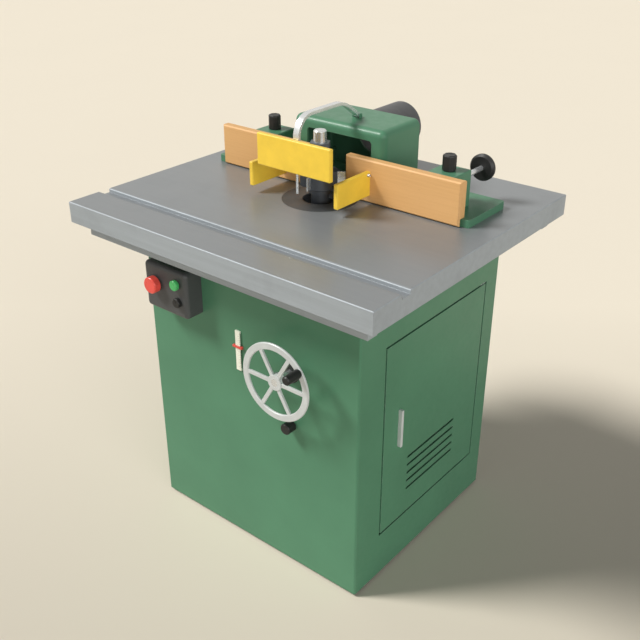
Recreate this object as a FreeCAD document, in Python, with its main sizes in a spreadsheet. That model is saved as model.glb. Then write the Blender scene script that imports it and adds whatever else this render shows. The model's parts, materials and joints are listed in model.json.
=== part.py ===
import FreeCAD, Part
import math
import os
import re
import Sketcher
from FreeCAD import Placement, Rotation, Vector
from types import SimpleNamespace

# Spindle moulder: floor machine with a cast table, a vertical cutter spindle, a fence and a guard.
# Frame: X to the right, Y to the back, Z up. The origin is on the floor under the spindle axis.
# Lengths are millimetres.

SIZES = {
    # Fits shared by all pieces
    "overrun": 2,
    "running_fit": 0.05,
    "clearance": 0.3,
    # Cabinet
    "cabinet_width": 638,
    "cabinet_depth": 563.5,
    "cabinet_front": 262.5,
    "cabinet_sheet": 3,
    "cabinet_corner": 5,
    "cabinet_flange": 42,
    "cabinet_flange_thick": 6,
    "plinth_height": 8,
    "plinth_inset": 8,
    "anchor_radius": 7,
    "anchor_inset": 60,
    # Table
    "table_height": 850,
    "table_length": 865,
    "table_depth": 765,
    "table_edge": 50,
    "table_skin": 16,
    "table_wall": 20,
    "table_boss_radius": 126,
    "table_rib": 18,
    "table_bevel": 1.5,
    "slot_width": 28,
    "slot_depth": 10,
    "slot_inset": 102.5,
    "slot_bevel": 2.5,
    "ring_radius": 88.8,
    "ring_hole_radius": 40,
    "ring_thick": 12,
    "ring_ledge": 14,
    "rail_end": 31,
    "rail_tall": 32,
    "rail_front_width": 30,
    "bolt_radius": 5,
    "bolt_head_radius": 9,
    "bolt_head": 7,
    "bolt_grip": 26,
    # Door on the right side
    "door_front": 166,
    "door_length": 408.3,
    "door_bottom": 131.3,
    "door_height": 504.7,
    "door_gap": 5,
    "door_return": 18,
    "hinge_inset": 9,
    "hinge_setback": 9,
    "hinge_pin_radius": 4,
    "hinge_pin_length": 14,
    "hinge_tab_thick": 4,
    "hinge_tab_length": 46,
    "louvre_length": 205,
    "louvre_height": 7,
    "louvre_pitch": 23.5,
    "louvre_inset": 102,
    "louvre_rise": 66.7,
    "handle_inset": 54.5,
    "handle_width": 8,
    "handle_rise": 222.5,
    "handle_height": 100,
    "handle_proud": 10,
    "handle_round": 1.5,
    "handle_screw_radius": 2.5,
    "handle_screw_inset": 12,
    # Hand wheel, its shaft and the raising gears
    "wheel_across": 133,
    "wheel_drop": 297,
    "wheel_stand": 53,
    "wheel_radius": 94,
    "wheel_rim": 16.5,
    "wheel_rim_deep": 6,
    "wheel_rim_bevel": 1.5,
    "wheel_spoke": 9,
    "wheel_spoke_deep": 5,
    "wheel_hub_radius": 18.5,
    "wheel_hub_front": 4,
    "wheel_hub_back": 14,
    "shaft_radius": 9,
    "bush_radius": 17,
    "bush_flange_radius": 24,
    "bush_flange": 5,
    "grip_angle": 36.5,
    "grip_radius": 10.5,
    "grip_length": 43,
    "grip_round": 3,
    "grip_pin_radius": 3,
    "screw_setback": 60,
    "screw_radius": 10,
    "screw_spare": 45,
    "screw_tail": 18,
    "gear_radius": 24,
    "gear_face": 9,
    "gear_root": 3.2,
    "gear_tip": 2.2,
    "gear_hub_radius": 15,
    "gear_hub": 12,
    "tooth_root_width": 3.9,
    "tooth_tip_width": 2.2,
    "gear_arm_width": 40,
    "gear_arm_drop": 43,
    "gear_arm_thick": 30,
    "gear_arm_plate": 12,
    "gear_plate_rise": 69,
    "gear_arm_nose": 24,
    "gear_post_front": 152,
    "gear_post_thick": 34,
    "gear_post_rise": 29,
    "lock_drop": 139,
    "lock_boss_radius": 15,
    "lock_boss_length": 60,
    "lock_knob_radius": 13.5,
    "lock_knob_length": 24,
    "lock_knob_gap": 3,
    "lock_knob_bevel": 2,
    "lock_screw_radius": 6,
    # Height scale on the front panel
    "scale_offset": 25,
    "scale_width": 14,
    "scale_height": 103,
    "scale_below": 62,
    "scale_thick": 2,
    "scale_foot": 6,
    "scale_standoff": 2.2,
    "cursor_rise": 42,
    "cursor_width": 28,
    "cursor_tall": 5,
    "cursor_bar": 2.5,
    "cursor_back_bar": 1.2,
    "cursor_stem": 6,
    "cursor_slot_reach": 33,
    # Switch box
    "box_inset": 43,
    "box_width": 139,
    "box_drop": 75.5,
    "box_height": 117,
    "box_deep": 49,
    "box_round": 11,
    "box_wall": 4,
    "stop_inset": 40,
    "stop_rise": 69,
    "stop_radius": 20,
    "stop_cap": 17,
    "stop_stand": 4.5,
    "stop_round": 2,
    "start_inset": 110,
    "start_rise": 86,
    "start_radius": 12.5,
    "start_cap": 8,
    "start_stand": 4,
    "start_round": 1.5,
    "button_stem_radius": 8,
    "button_stem": 18,
    "button_collar": 5,
    "selector_inset": 112,
    "selector_rise": 41,
    "selector_radius": 11.5,
    "selector_stand": 10,
    "selector_groove": 2,
    # Mains cable gland at the back
    "gland_across": 200,
    "gland_height": 120,
    "gland_radius": 13,
    "gland_bore": 5,
    "gland_nut": 10,
    "gland_neck_radius": 9,
    "gland_neck": 22,
    # Raising carriage
    "quill_drop": 45,
    "quill_length": 285,
    "quill_radius": 55,
    "quill_bore": 38,
    "bearing_radius": 45,
    "bearing_bore": 25,
    "bearing_tall": 20,
    "column_across": 100,
    "column_back": 85,
    "column_radius": 18,
    "column_length": 222,
    "column_boss_radius": 29,
    "column_boss_rise": 80,
    "column_boss_tall": 140,
    "web_front": 42,
    "web_back": 112,
    "web_tall": 194,
    "lug_rise": 120,
    "lug_tall": 60,
    "lug_width": 50,
    "nut_radius": 16,
    "nut_flange_radius": 23,
    "nut_flange": 8,
    "head_thick": 24,
    "head_width": 280,
    "head_front": 78,
    "head_back": 116,
    "head_hole": 62,
    "pad_reach": 72,
    "pad_width": 20,
    # Motor and belt
    "motor_gap": 10,
    "motor_radius": 76,
    "motor_fin": 7,
    "motor_fin_thick": 4,
    "motor_tall": 220,
    "motor_wall": 14,
    "rotor_radius": 44,
    "rotor_gap": 1,
    "motor_shaft_radius": 14,
    "motor_plate_thick": 12,
    "motor_plate_width": 180,
    "motor_plate_setback": 18,
    "motor_plate_lip": 5,
    "terminal_width": 60,
    "terminal_tall": 70,
    "terminal_reach": 34,
    "belt_drop": 51,
    "belt_width": 30,
    "belt_thick": 6,
    "pulley_flange": 6,
    "pulley_rim": 9,
    "spindle_pulley_radius": 40,
    "motor_pulley_radius": 60,
    "pulley_seat": 22,
    # Spindle and tooling
    "nose_radius": 15,
    "nose_tall": 27,
    "nose_bevel": 2,
    "flange_radius": 35,
    "flange_gap": 6,
    "flange_thick": 15,
    "collar_radius": 27.5,
    "collar_tall": 55,
    "collar_head": 14,
    "collar_neck_radius": 21,
    "cutter_low_tall": 33,
    "cutter_high_tall": 43,
    "cutter_low_radius": 46,
    "cutter_high_radius": 25,
    "cutter_bevel": 2,
    "knife_proud": 12,
    "knife_thick": 4,
    "knife_width": 18,
    "knife_rise": 3,
    "gullet_root": 27,
    "spacer_tall": 9,
    "spacer_radius": 25,
    "nut_tall": 18,
    "nut_across_corners": 50,
    # Fence
    "fence_left": 374,
    "fence_right": 364,
    "fence_front": 50,
    "fence_depth": 160,
    "fence_plate": 18,
    "fence_corner": 6,
    "fence_notch_left": 104,
    "fence_notch_right": 96,
    "fence_notch_margin": 22,
    "hood_left": 140,
    "hood_right": 125,
    "hood_front": 72,
    "hood_depth": 142,
    "hood_tall": 142.5,
    "hood_wall": 6,
    "hood_round": 16,
    "hood_mouth_left": 98,
    "hood_mouth_right": 90,
    "hood_mouth_tall": 116,
    "hood_mouth_round": 8,
    "hood_boss_radius": 11,
    "hood_boss_inset": 9,
    "hood_boss_tall": 30,
    "hood_screw_radius": 3,
    "hood_screw_head_radius": 5.5,
    "hood_screw_head": 5,
    "hood_screw_length": 34,
    "port_radius": 56.5,
    "port_wall": 2.5,
    "port_length": 113,
    "port_drop": 57.5,
    "port_throat": 48,
    "port_plate": 4,
    "board_front": 43,
    "board_thick": 23,
    "board_lift": 2,
    "board_tall": 99,
    "board_inner": 39,
    "board_left_length": 312,
    "board_right_length": 306,
    "board_bevel": 3,
    "board_rebate_gap": 0.9,
    "board_bolt_radius": 4,
    "board_bolt_bite": 14,
    "bolt_low_rise": 25,
    "bolt_high_rise": 59,
    "bolt_side_room": 2,
    "board_travel": 40,
    "board_nut_radius": 7,
    "board_nut": 7,
    "bracket_width": 72,
    "bracket_depth": 71,
    "bracket_tall": 82,
    "bracket_wall": 6,
    "bracket_round": 4,
    "right_bracket_inner": 243,
    "left_bracket_inner": 190,
    "clamp_inset": 34,
    "clamp_stud_radius": 6,
    "clamp_knob_radius": 15,
    "clamp_knob_tall": 36,
    "clamp_knob_bevel": 3,
    "clamp_depth": 15,
    "slide_travel": 4,
    "adjuster_inset": 55,
    "adjuster_rise": 63,
    "adjuster_radius": 6,
    "adjuster_start": 20,
    "adjuster_reach": 70,
    "adjuster_knob_radius": 31,
    "adjuster_knob_thick": 16,
    "adjuster_knob_round": 5,
    "adjuster_collar": 9,
    "adjuster_collar_length": 4,
    "post_inset": 26,
    "post_thick": 14,
    "post_width": 13,
    "post_cap": 9,
    # Guards
    "side_guard_left": 146,
    "side_guard_right": 104,
    "side_guard_thick": 12,
    "side_guard_front": 75,
    "side_guard_tall": 58,
    "guard_round": 3,
    "guard_half": 105,
    "guard_front": 96,
    "guard_thick": 12,
    "guard_lift": 84,
    "guard_tall": 74,
    "guard_block_half": 14,
    "guard_block_deep": 14,
    "guard_block_tall": 20,
    "arm_width": 15,
    "arm_thick": 7.5,
    "arm_rise": 50,
    "arm_knee_reach": 58,
    "arm_knee_radius": 70,
    "arm_elbow_radius": 45,
    "arm_leg_gap": 28,
    "guard_rod_radius": 3,
    "guard_rod_drop": 50,
    "guard_hinge_setback": 66,
    "guard_hinge_lift": 5.5,
    "guard_hinge_eye": 5,
    "guard_hinge_pin": 2.5,
    "guard_hinge_lug": 3,
}

# Inset of the front rail, and inset and width of the back one, as shares of the table's overhang on that side
RAIL_FRONT_SHARES = (0.233,)
RAIL_BACK_SHARES = (0.172, 0.368)

# Places worked out from the sizes; each may use the ones above it
PLACES = {
    "slot_offset": "table_depth / 2 - slot_inset",
    "front_overhang": "table_depth / 2 - cabinet_front",
    "back_overhang": "table_depth / 2 - cabinet_depth + cabinet_front",
    "rail_front_out": f"table_depth / 2 - front_overhang * {RAIL_FRONT_SHARES[0]}",
    "rail_front_in": "rail_front_out - rail_front_width",
    "rail_back_out": f"table_depth / 2 - back_overhang * {RAIL_BACK_SHARES[0]}",
    "rail_back_in": f"rail_back_out - back_overhang * {RAIL_BACK_SHARES[1]}",
    "rail_length": "table_length - 2 * rail_end",
    "louvre_front": "door_front - louvre_inset",
    "louvre_bottom": "door_bottom + louvre_rise",
    "handle_front": "door_front - handle_inset",
    "handle_bottom": "door_bottom + handle_rise",
    "wheel_height": "table_height - wheel_drop",
    "lock_height": "wheel_height - lock_drop",
    "gear_arm_top": "wheel_height - gear_arm_drop",
    "gear_arm_plate_top": "wheel_height + gear_plate_rise",
    "gear_post_top": "wheel_height + gear_post_rise",
    "screw_bottom": "lock_height - screw_tail",
    "quill_top": "table_height - quill_drop",
    "quill_bottom": "quill_top - quill_length",
    "web_bottom": "quill_bottom + motor_plate_thick",
    "web_top": "web_bottom + web_tall",
    "column_bottom": "table_height - table_edge - column_length",
    "column_boss_bottom": "quill_bottom + column_boss_rise",
    "column_boss_top": "column_boss_bottom + column_boss_tall",
    "lug_bottom": "quill_bottom + lug_rise",
    "lug_top": "lug_bottom + lug_tall",
    "screw_top": "lug_top + screw_spare",
    "cursor_height": "quill_bottom + cursor_rise",
    "scale_bottom": "cursor_height - scale_below",
    "box_left": "cabinet_width / 2 - box_inset",
    "box_bottom": "table_height - table_edge - box_drop - box_height",
    "stop_across": "box_left - stop_inset",
    "stop_height": "box_bottom + stop_rise",
    "start_across": "box_left - start_inset",
    "start_height": "box_bottom + start_rise",
    "selector_across": "box_left - selector_inset",
    "selector_height": "box_bottom + selector_rise",
    "head_bottom": "table_height - table_edge - head_thick",
    "motor_top": "web_bottom + motor_tall",
    "motor_back": "web_back + motor_gap + motor_fin + motor_radius",
    "motor_plate_front": "web_front + motor_plate_setback",
    "motor_plate_back": "motor_back + motor_radius + motor_plate_lip",
    "belt_bottom": "quill_bottom - belt_drop",
    "flange_bottom": "quill_top + flange_gap",
    "flange_top": "flange_bottom + flange_thick",
    "cutter_bottom": "flange_top + collar_tall",
    "cutter_step": "cutter_bottom + cutter_low_tall",
    "cutter_top": "cutter_step + cutter_high_tall",
    "knife_reach": "cutter_low_radius + knife_proud",
    "knife_bottom": "cutter_bottom + knife_rise",
    "spacer_top": "cutter_top + spacer_tall",
    "nut_top": "spacer_top + nut_tall",
    "spindle_top": "nut_top + nose_tall",
    "fence_back": "fence_front + fence_depth",
    "fence_notch_back": "fence_back - fence_notch_margin",
    "hood_back": "hood_front + hood_depth",
    "hood_top": "table_height + fence_plate + hood_tall",
    "hood_mouth_top": "table_height + fence_plate + hood_mouth_tall",
    "port_end": "hood_back + port_length",
    "port_height": "hood_top - port_drop",
    "board_top": "table_height + board_lift + board_tall",
    "board_bolt_low": "table_height + fence_plate + bolt_low_rise",
    "board_bolt_high": "table_height + fence_plate + bolt_high_rise",
    "bracket_back": "board_front + board_thick + bracket_depth",
    "bracket_top": "table_height + fence_plate + bracket_tall",
    "clamp_setback": "board_front + board_thick + clamp_inset",
    "adjuster_across": "right_bracket_inner + adjuster_inset",
    "adjuster_height": "table_height + fence_plate + adjuster_rise",
    "adjuster_tip": "board_front + board_thick + adjuster_start",
    "adjuster_knob_front": "bracket_back + adjuster_reach",
    "post_front": "board_front + board_thick + post_inset",
    "post_top": "adjuster_height + post_cap",
    "side_guard_bottom": "table_height + fence_plate",
    "side_guard_top": "side_guard_bottom + side_guard_tall",
    "guard_bottom": "table_height + guard_lift",
    "guard_top": "guard_bottom + guard_tall",
    "arm_top": "hood_top + arm_rise",
    "guard_hinge_back": "hood_front + guard_hinge_setback",
    "arm_knee": "guard_hinge_back - arm_knee_reach",
    "arm_leg_bottom": "guard_bottom + arm_leg_gap",
    "guard_rod_bottom": "guard_bottom - guard_rod_drop",
}

LOUVRE_COUNT = 5
SPOKE_COUNT = 6
GEAR_TEETH = 16
MOTOR_FIN_COUNT = 20
KNIFE_ANGLE = 39
# Bolt places of the column head as shares of the table's boss radius
HEAD_BOLT_SHARES = ((0.75, -0.44), (0.48, 0.75))

doc = FreeCAD.newDocument("spindle_moulder")
sheet = doc.addObject("Spreadsheet::Sheet", "dims")
for row, (alias, value) in enumerate(SIZES.items(), 1):
    sheet.set(f"A{row}", alias)
    sheet.set(f"B{row}", str(value))
    sheet.setAlias(f"B{row}", alias)
doc.recompute()
places = doc.addObject("App::VarSet", "places")


def bind(text):
    """Turns the words in a formula into references to the sheet and the worked-out places."""
    def named(match):
        word = match.group()
        if word in SIZES:
            return f"dims.{word}"
        return f"places.{word}" if word in PLACES else word
    return re.sub(r"[A-Za-z_]\w*", named, text)


for place, formula in PLACES.items():
    places.addProperty("App::PropertyFloat", place)
    places.setExpression(place, bind(formula))
doc.recompute()
S = SimpleNamespace(**{alias: float(sheet.get(alias)) for alias in SIZES},
                    **{place: getattr(places, place) for place in PLACES})

# Places that several pieces share, as formulas of the sheet
LEFT = "-cabinet_width / 2"
RIGHT = "cabinet_width / 2"
FRONT = "-cabinet_front"
BACK = "cabinet_depth - cabinet_front"
UNDER = "table_height - table_edge"
PLATE_TOP = "table_height + fence_plate"
BOARD_BACK = "board_front + board_thick"
DOOR_BACK = "door_length - door_front"
DOOR_TOP = "door_bottom + door_height"
DOOR_IN = "cabinet_width / 2 - cabinet_sheet"
HINGE_X = "cabinet_width / 2 - hinge_inset"
HINGE_Y = "door_length - door_front - hinge_setback"
BOX_FACE = "cabinet_front + box_deep"
WHEEL_PLANE = "cabinet_front + wheel_stand"
GUARD_BACK = "-(guard_front - guard_thick)"

SUB_PARTS = []


def keep(label, obj):
    """Names a finished sub-part, which is then written to a file of that name."""
    obj.Label = label
    SUB_PARTS.append(obj)
    return obj


def put(obj, x, y, z):
    for axis, text in zip("xyz", (x, y, z)):
        obj.setExpression(f"Placement.Base.{axis}", bind(text))
    return obj


def box(name, x0, x1, y0, y1, z0, z1):
    """Block between two corners, each given as a formula."""
    obj = doc.addObject("Part::Box", name)
    for side, low, high in (("Length", x0, x1), ("Width", y0, y1), ("Height", z0, z1)):
        obj.setExpression(side, bind(f"({high}) - ({low})"))
    return put(obj, x0, y0, z0)


TURN = {
    "x": Rotation(Vector(0, 1, 0), 90),
    "y": Rotation(Vector(1, 0, 0), -90),
    "z": Rotation(),
    "-y": Rotation(Vector(1, 0, 0), 90),
}


def rod(name, axis, radius, start, end, across, along):
    """Cylinder along an axis; across and along are its two other coordinates in X, Y, Z order."""
    obj = doc.addObject("Part::Cylinder", name)
    obj.setExpression("Radius", bind(radius))
    obj.setExpression("Height", bind(f"({end}) - ({start})"))
    obj.Placement = Placement(Vector(), TURN[axis])
    spots = {"x": (start, across, along), "y": (across, start, along), "z": (across, along, start)}
    return put(obj, *spots[axis])


def join(name, *pieces):
    obj = doc.addObject("Part::MultiFuse", name)
    obj.Shapes = list(pieces)
    return obj


def cut(name, base, *tools):
    obj = doc.addObject("Part::Cut", name)
    obj.Base = base
    obj.Tool = tools[0] if len(tools) == 1 else join(f"{name}_tools", *tools)
    return obj


def ends(edge):
    """Lowest and highest corner of an edge."""
    bound = edge.BoundBox
    return Vector(bound.XMin, bound.YMin, bound.ZMin), Vector(bound.XMax, bound.YMax, bound.ZMax)


def straight(edge, axis):
    """True for a straight edge along one axis."""
    low, high = ends(edge)
    spread = high - low
    others = [getattr(spread, name) for name in "xyz" if name != axis]
    return edge.Curve.TypeId == "Part::GeomLine" and max(others) < S.running_fit


def dress(kind, name, base, amount, chosen):
    """Fillet or chamfer on the edges that the chosen test accepts."""
    doc.recompute()
    obj = doc.addObject(kind, name)
    obj.Base = base
    picked = [(i, amount, amount) for i, edge in enumerate(base.Shape.Edges, 1) if chosen(edge)]
    obj.Edges = picked
    return obj


def rounded(name, base, radius, chosen):
    return dress("Part::Fillet", name, base, radius, chosen)


def bevelled(name, base, amount, chosen):
    return dress("Part::Chamfer", name, base, amount, chosen)


def sketch_outline(body, role, points):
    """Closed outline on one of the body's planes, every corner tied to the sheet."""
    sketch = body.newObject("Sketcher::SketchObject", f"{body.Name}_outline")
    plane = next(f for f in body.Origin.OriginFeatures if f.Role == role)
    sketch.AttachmentSupport = [(plane, "")]
    sketch.MapMode = "FlatFace"
    count = len(points)
    start = [Rotation(Vector(0, 0, 1), 360 * k / count).multVec(Vector(1, 0, 0)) for k in range(count)]
    for k in range(count):
        sketch.addGeometry(Part.LineSegment(start[k], start[(k + 1) % count]), False)
    for k in range(count):
        sketch.addConstraint(Sketcher.Constraint("Coincident", k, 2, (k + 1) % count, 1))
    for k, (across, up) in enumerate(points):
        rules = (("DistanceX", across, -2, start[k].x), ("DistanceY", up, -1, start[k].y))
        for kind, text, axis, first in rules:
            if text == "0":
                sketch.addConstraint(Sketcher.Constraint("PointOnObject", k, 1, axis))
                continue
            index = sketch.addConstraint(Sketcher.Constraint(kind, -1, 1, k, 1, first))
            sketch.renameConstraint(index, f"{kind}{k}")
            sketch.setExpression(f"Constraints.{kind}{k}", bind(text))
    return sketch


def turned(name, points, axis="z", x="0", y="0", z="0"):
    """Piece turned about an axis from points of radius and distance along that axis."""
    body = doc.addObject("PartDesign::Body", name)
    sketch = sketch_outline(body, "XZ_Plane", points)
    spin = body.newObject("PartDesign::Revolution", f"{name}_spin")
    spin.Profile = sketch
    spin.ReferenceAxis = (sketch, ["V_Axis"])
    spin.Angle = 360
    body.Placement = Placement(Vector(), TURN[axis])
    return put(body, x, y, z)


def shaped(name, shape):
    """Piece whose shape is worked out from the sheet's values."""
    obj = doc.addObject("Part::Feature", name)
    obj.Shape = shape
    obj.Placement = Placement()
    return obj


def make_plinth():
    """Recessed floor plate under the cabinet with its anchor holes."""
    low_x, high_x = f"{LEFT} + plinth_inset", f"{RIGHT} - plinth_inset"
    low_y, high_y = f"{FRONT} + plinth_inset", f"{BACK} - plinth_inset"
    plate = box("plinth_plate", low_x, high_x, low_y, high_y, "0", "plinth_height")
    holes = []
    for x in (f"{low_x} + anchor_inset", f"{high_x} - anchor_inset"):
        for y in (f"{low_y} + anchor_inset", f"{high_y} - anchor_inset"):
            name = f"plinth_hole_{len(holes)}"
            holes.append(rod(name, "z", "anchor_radius", "-overrun", "plinth_height + overrun", x, y))
    keep("plinth", cut("plinth_cut", plate, *holes))


def cabinet_bolt_places():
    side = "cabinet_width / 2 - cabinet_sheet - cabinet_flange / 2"
    front = f"{FRONT} + cabinet_sheet + cabinet_flange / 2"
    back = f"{BACK} - cabinet_sheet - cabinet_flange / 2"
    return [(f"{sign}({side})", y) for sign in ("-", "") for y in (front, back)]


def head_bolt_places():
    return [(f"{sign}table_boss_radius * {across}", f"table_boss_radius * ({back})")
            for sign in ("-", "") for across, back in HEAD_BOLT_SHARES]


def make_cabinet():
    """Folded sheet cabinet with an inner flange at its top and bottom."""
    outer = box("cabinet_outer", LEFT, RIGHT, FRONT, BACK, "plinth_height", UNDER)
    outer = rounded("cabinet_outer_round", outer, S.cabinet_corner, lambda e: straight(e, "z"))
    inner = box("cabinet_inner", f"{LEFT} + cabinet_sheet", DOOR_IN, f"{FRONT} + cabinet_sheet",
                f"{BACK} - cabinet_sheet", "plinth_height + cabinet_flange_thick",
                f"{UNDER} - cabinet_flange_thick")
    inner_round = S.cabinet_corner - S.cabinet_sheet
    inner = rounded("cabinet_inner_round", inner, inner_round, lambda e: straight(e, "z"))
    rim = "cabinet_sheet + cabinet_flange"
    well = box("cabinet_well", f"{LEFT} + {rim}", f"{RIGHT} - ({rim})", f"{FRONT} + {rim}",
               f"{BACK} - ({rim})", "plinth_height - overrun", f"{UNDER} + overrun")
    doorway = box("cabinet_doorway", f"{DOOR_IN} - overrun", f"{RIGHT} + overrun",
                  "-door_front - door_gap", f"{DOOR_BACK} + door_gap",
                  "door_bottom - door_gap", f"{DOOR_TOP} + door_gap")
    panel = (f"{FRONT} - overrun", f"{FRONT} + cabinet_sheet + overrun")
    shaft_hole = rod("cabinet_shaft_hole", "y", "bush_radius + clearance", *panel,
                     "wheel_across", "wheel_height")
    lock_hole = rod("cabinet_lock_hole", "y", "lock_screw_radius + clearance", *panel,
                    "wheel_across", "lock_height")
    cursor_half = "cursor_stem / 2 + clearance"
    slot = box("cabinet_cursor_slot", f"-scale_offset - ({cursor_half})", f"-scale_offset + {cursor_half}",
               *panel, "cursor_height - cursor_slot_reach", "cursor_height + cursor_slot_reach")
    wire_hole = rod("cabinet_wire_hole", "y", "gland_radius", *panel,
                    "-box_left + box_width / 2", "box_bottom + box_height / 2")
    gland_hole = rod("cabinet_gland_hole", "y", "gland_neck_radius + clearance",
                     f"{BACK} - cabinet_sheet - overrun", f"{BACK} + overrun",
                     "-gland_across", "gland_height")
    holes = []
    for k, (x, y) in enumerate(cabinet_bolt_places()):
        holes.append(rod(f"cabinet_bolt_hole_{k}", "z", "bolt_radius + clearance",
                         f"{UNDER} - cabinet_flange_thick - overrun", f"{UNDER} + overrun", x, y))
    keep("cabinet", cut("cabinet_cut", outer, inner, well, doorway, shaft_hole, lock_hole, slot,
                        wire_hole, gland_hole, *holes))


def make_table():
    """Cast table: a slab with a machined top, hollowed from below between its ribs."""
    half_x, half_y = "table_length / 2", "table_depth / 2"
    slab = box("table_slab", f"-{half_x}", half_x, f"-{half_y}", half_y, UNDER, "table_height")
    slot_low, slot_high = "-slot_offset - slot_width / 2", "-slot_offset + slot_width / 2"
    slot = box("table_slot", f"-{half_x} - overrun", f"{half_x} + overrun", slot_low, slot_high,
               "table_height - slot_depth", "table_height + overrun")
    slotted = cut("table_slotted", slab, slot)

    def top_rim(edge):
        low, high = ends(edge)
        on_top = low.z > S.table_height - S.running_fit
        return on_top and not near_slot(edge) and (straight(edge, "x") or straight(edge, "y"))

    def near_slot(edge):
        low, high = ends(edge)
        reach = S.slot_width / 2 + S.running_fit
        inside = abs(low.y + S.slot_offset) < reach and abs(high.y + S.slot_offset) < reach
        return low.z > S.table_height - S.running_fit and straight(edge, "x") and inside

    slotted = bevelled("table_slot_bevel", slotted, S.slot_bevel, near_slot)
    slotted = bevelled("table_rim_bevel", slotted, S.table_bevel, top_rim)
    roof = "table_height - table_skin"
    floor = f"{UNDER} - overrun"
    rim = "cabinet_sheet + cabinet_flange"
    hollow = box("table_hollow", f"{LEFT} + {rim}", f"{RIGHT} - ({rim})", f"{FRONT} + {rim}",
                 f"{BACK} - ({rim})", floor, roof)
    boss = rod("table_boss", "z", "table_boss_radius", floor, roof, "0", "0")
    rib_x = box("table_rib_x", LEFT, RIGHT, "-table_rib / 2", "table_rib / 2", floor, roof)
    rib_y = box("table_rib_y", "-table_rib / 2", "table_rib / 2", FRONT, BACK, floor, roof)
    hollow = cut("table_hollow_ribbed", hollow, boss, rib_x, rib_y)
    wings = []
    for side in ("-", ""):
        inner, outer = f"{side}(cabinet_width / 2 + table_rib / 2)", f"{side}(table_length / 2 - table_wall)"
        low, high = (outer, inner) if side else (inner, outer)
        wings.append(box(f"table_wing_{len(wings)}", low, high, "-slot_offset + slot_width / 2 + table_rib",
                         "rail_back_in - table_rib", floor, roof))
    seat = rod("table_ring_seat", "z", "ring_radius + clearance", "table_height - ring_thick",
               "table_height + overrun", "0", "0")
    eye = rod("table_eye", "z", "ring_radius - ring_ledge", floor, "table_height + overrun", "0", "0")
    holes = []
    for k, (x, y) in enumerate(cabinet_bolt_places() + head_bolt_places()):
        holes.append(rod(f"table_bolt_hole_{k}", "z", "bolt_radius + running_fit", floor,
                         f"{UNDER} + bolt_grip + clearance", x, y))
    for k, x in enumerate((LEFT_CLAMP_X, RIGHT_CLAMP_X)):
        holes.append(rod(f"table_clamp_hole_{k}", "z", "clamp_stud_radius + running_fit",
                         "table_height - clamp_depth - clearance", "table_height + overrun", x, "clamp_setback"))
    keep("table", cut("table_cut", slotted, hollow, *wings, seat, eye, *holes))
    keep("table_ring", turned("table_ring_body", [
        ("ring_hole_radius", "table_height - ring_thick"), ("ring_radius", "table_height - ring_thick"),
        ("ring_radius", "table_height"), ("ring_hole_radius + table_bevel", "table_height"),
        ("ring_hole_radius", "table_height - table_bevel")]))


LEFT_CLAMP_X = "-left_bracket_inner - bracket_width / 2"
RIGHT_CLAMP_X = "right_bracket_inner + bracket_width / 2"


def make_table_rails():
    """Two square bars bolted under the table's front and back edges."""
    bars = []
    for name, low, high in (("front", "-rail_front_out", "-rail_front_in"),
                            ("back", "rail_back_in", "rail_back_out")):
        bars.append(box(f"rail_{name}", "-rail_length / 2", "rail_length / 2", low, high,
                        f"{UNDER} - rail_tall", UNDER))
    keep("table_rails", join("table_rails_pair", *bars))


def make_table_bolts():
    """Hexagon bolts that hold the cabinet and the column head under the table."""
    seats = [(f"{UNDER} - cabinet_flange_thick", places) for places in cabinet_bolt_places()]
    seats += [("head_bottom", places) for places in head_bolt_places()]
    bolts = []
    for k, (seat, (x, y)) in enumerate(seats):
        head = doc.addObject("Part::Prism", f"table_bolt_head_{k}")
        head.Polygon = 6
        head.setExpression("Circumradius", bind("bolt_head_radius"))
        head.setExpression("Height", bind("bolt_head"))
        put(head, x, y, f"{seat} - bolt_head")
        shank = rod(f"table_bolt_shank_{k}", "z", "bolt_radius", f"{seat} - bolt_head / 2",
                    f"{UNDER} + bolt_grip", x, y)
        bolts.append(join(f"table_bolt_{k}", head, shank))
    keep("table_bolts", join("table_bolts_set", *bolts))


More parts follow.
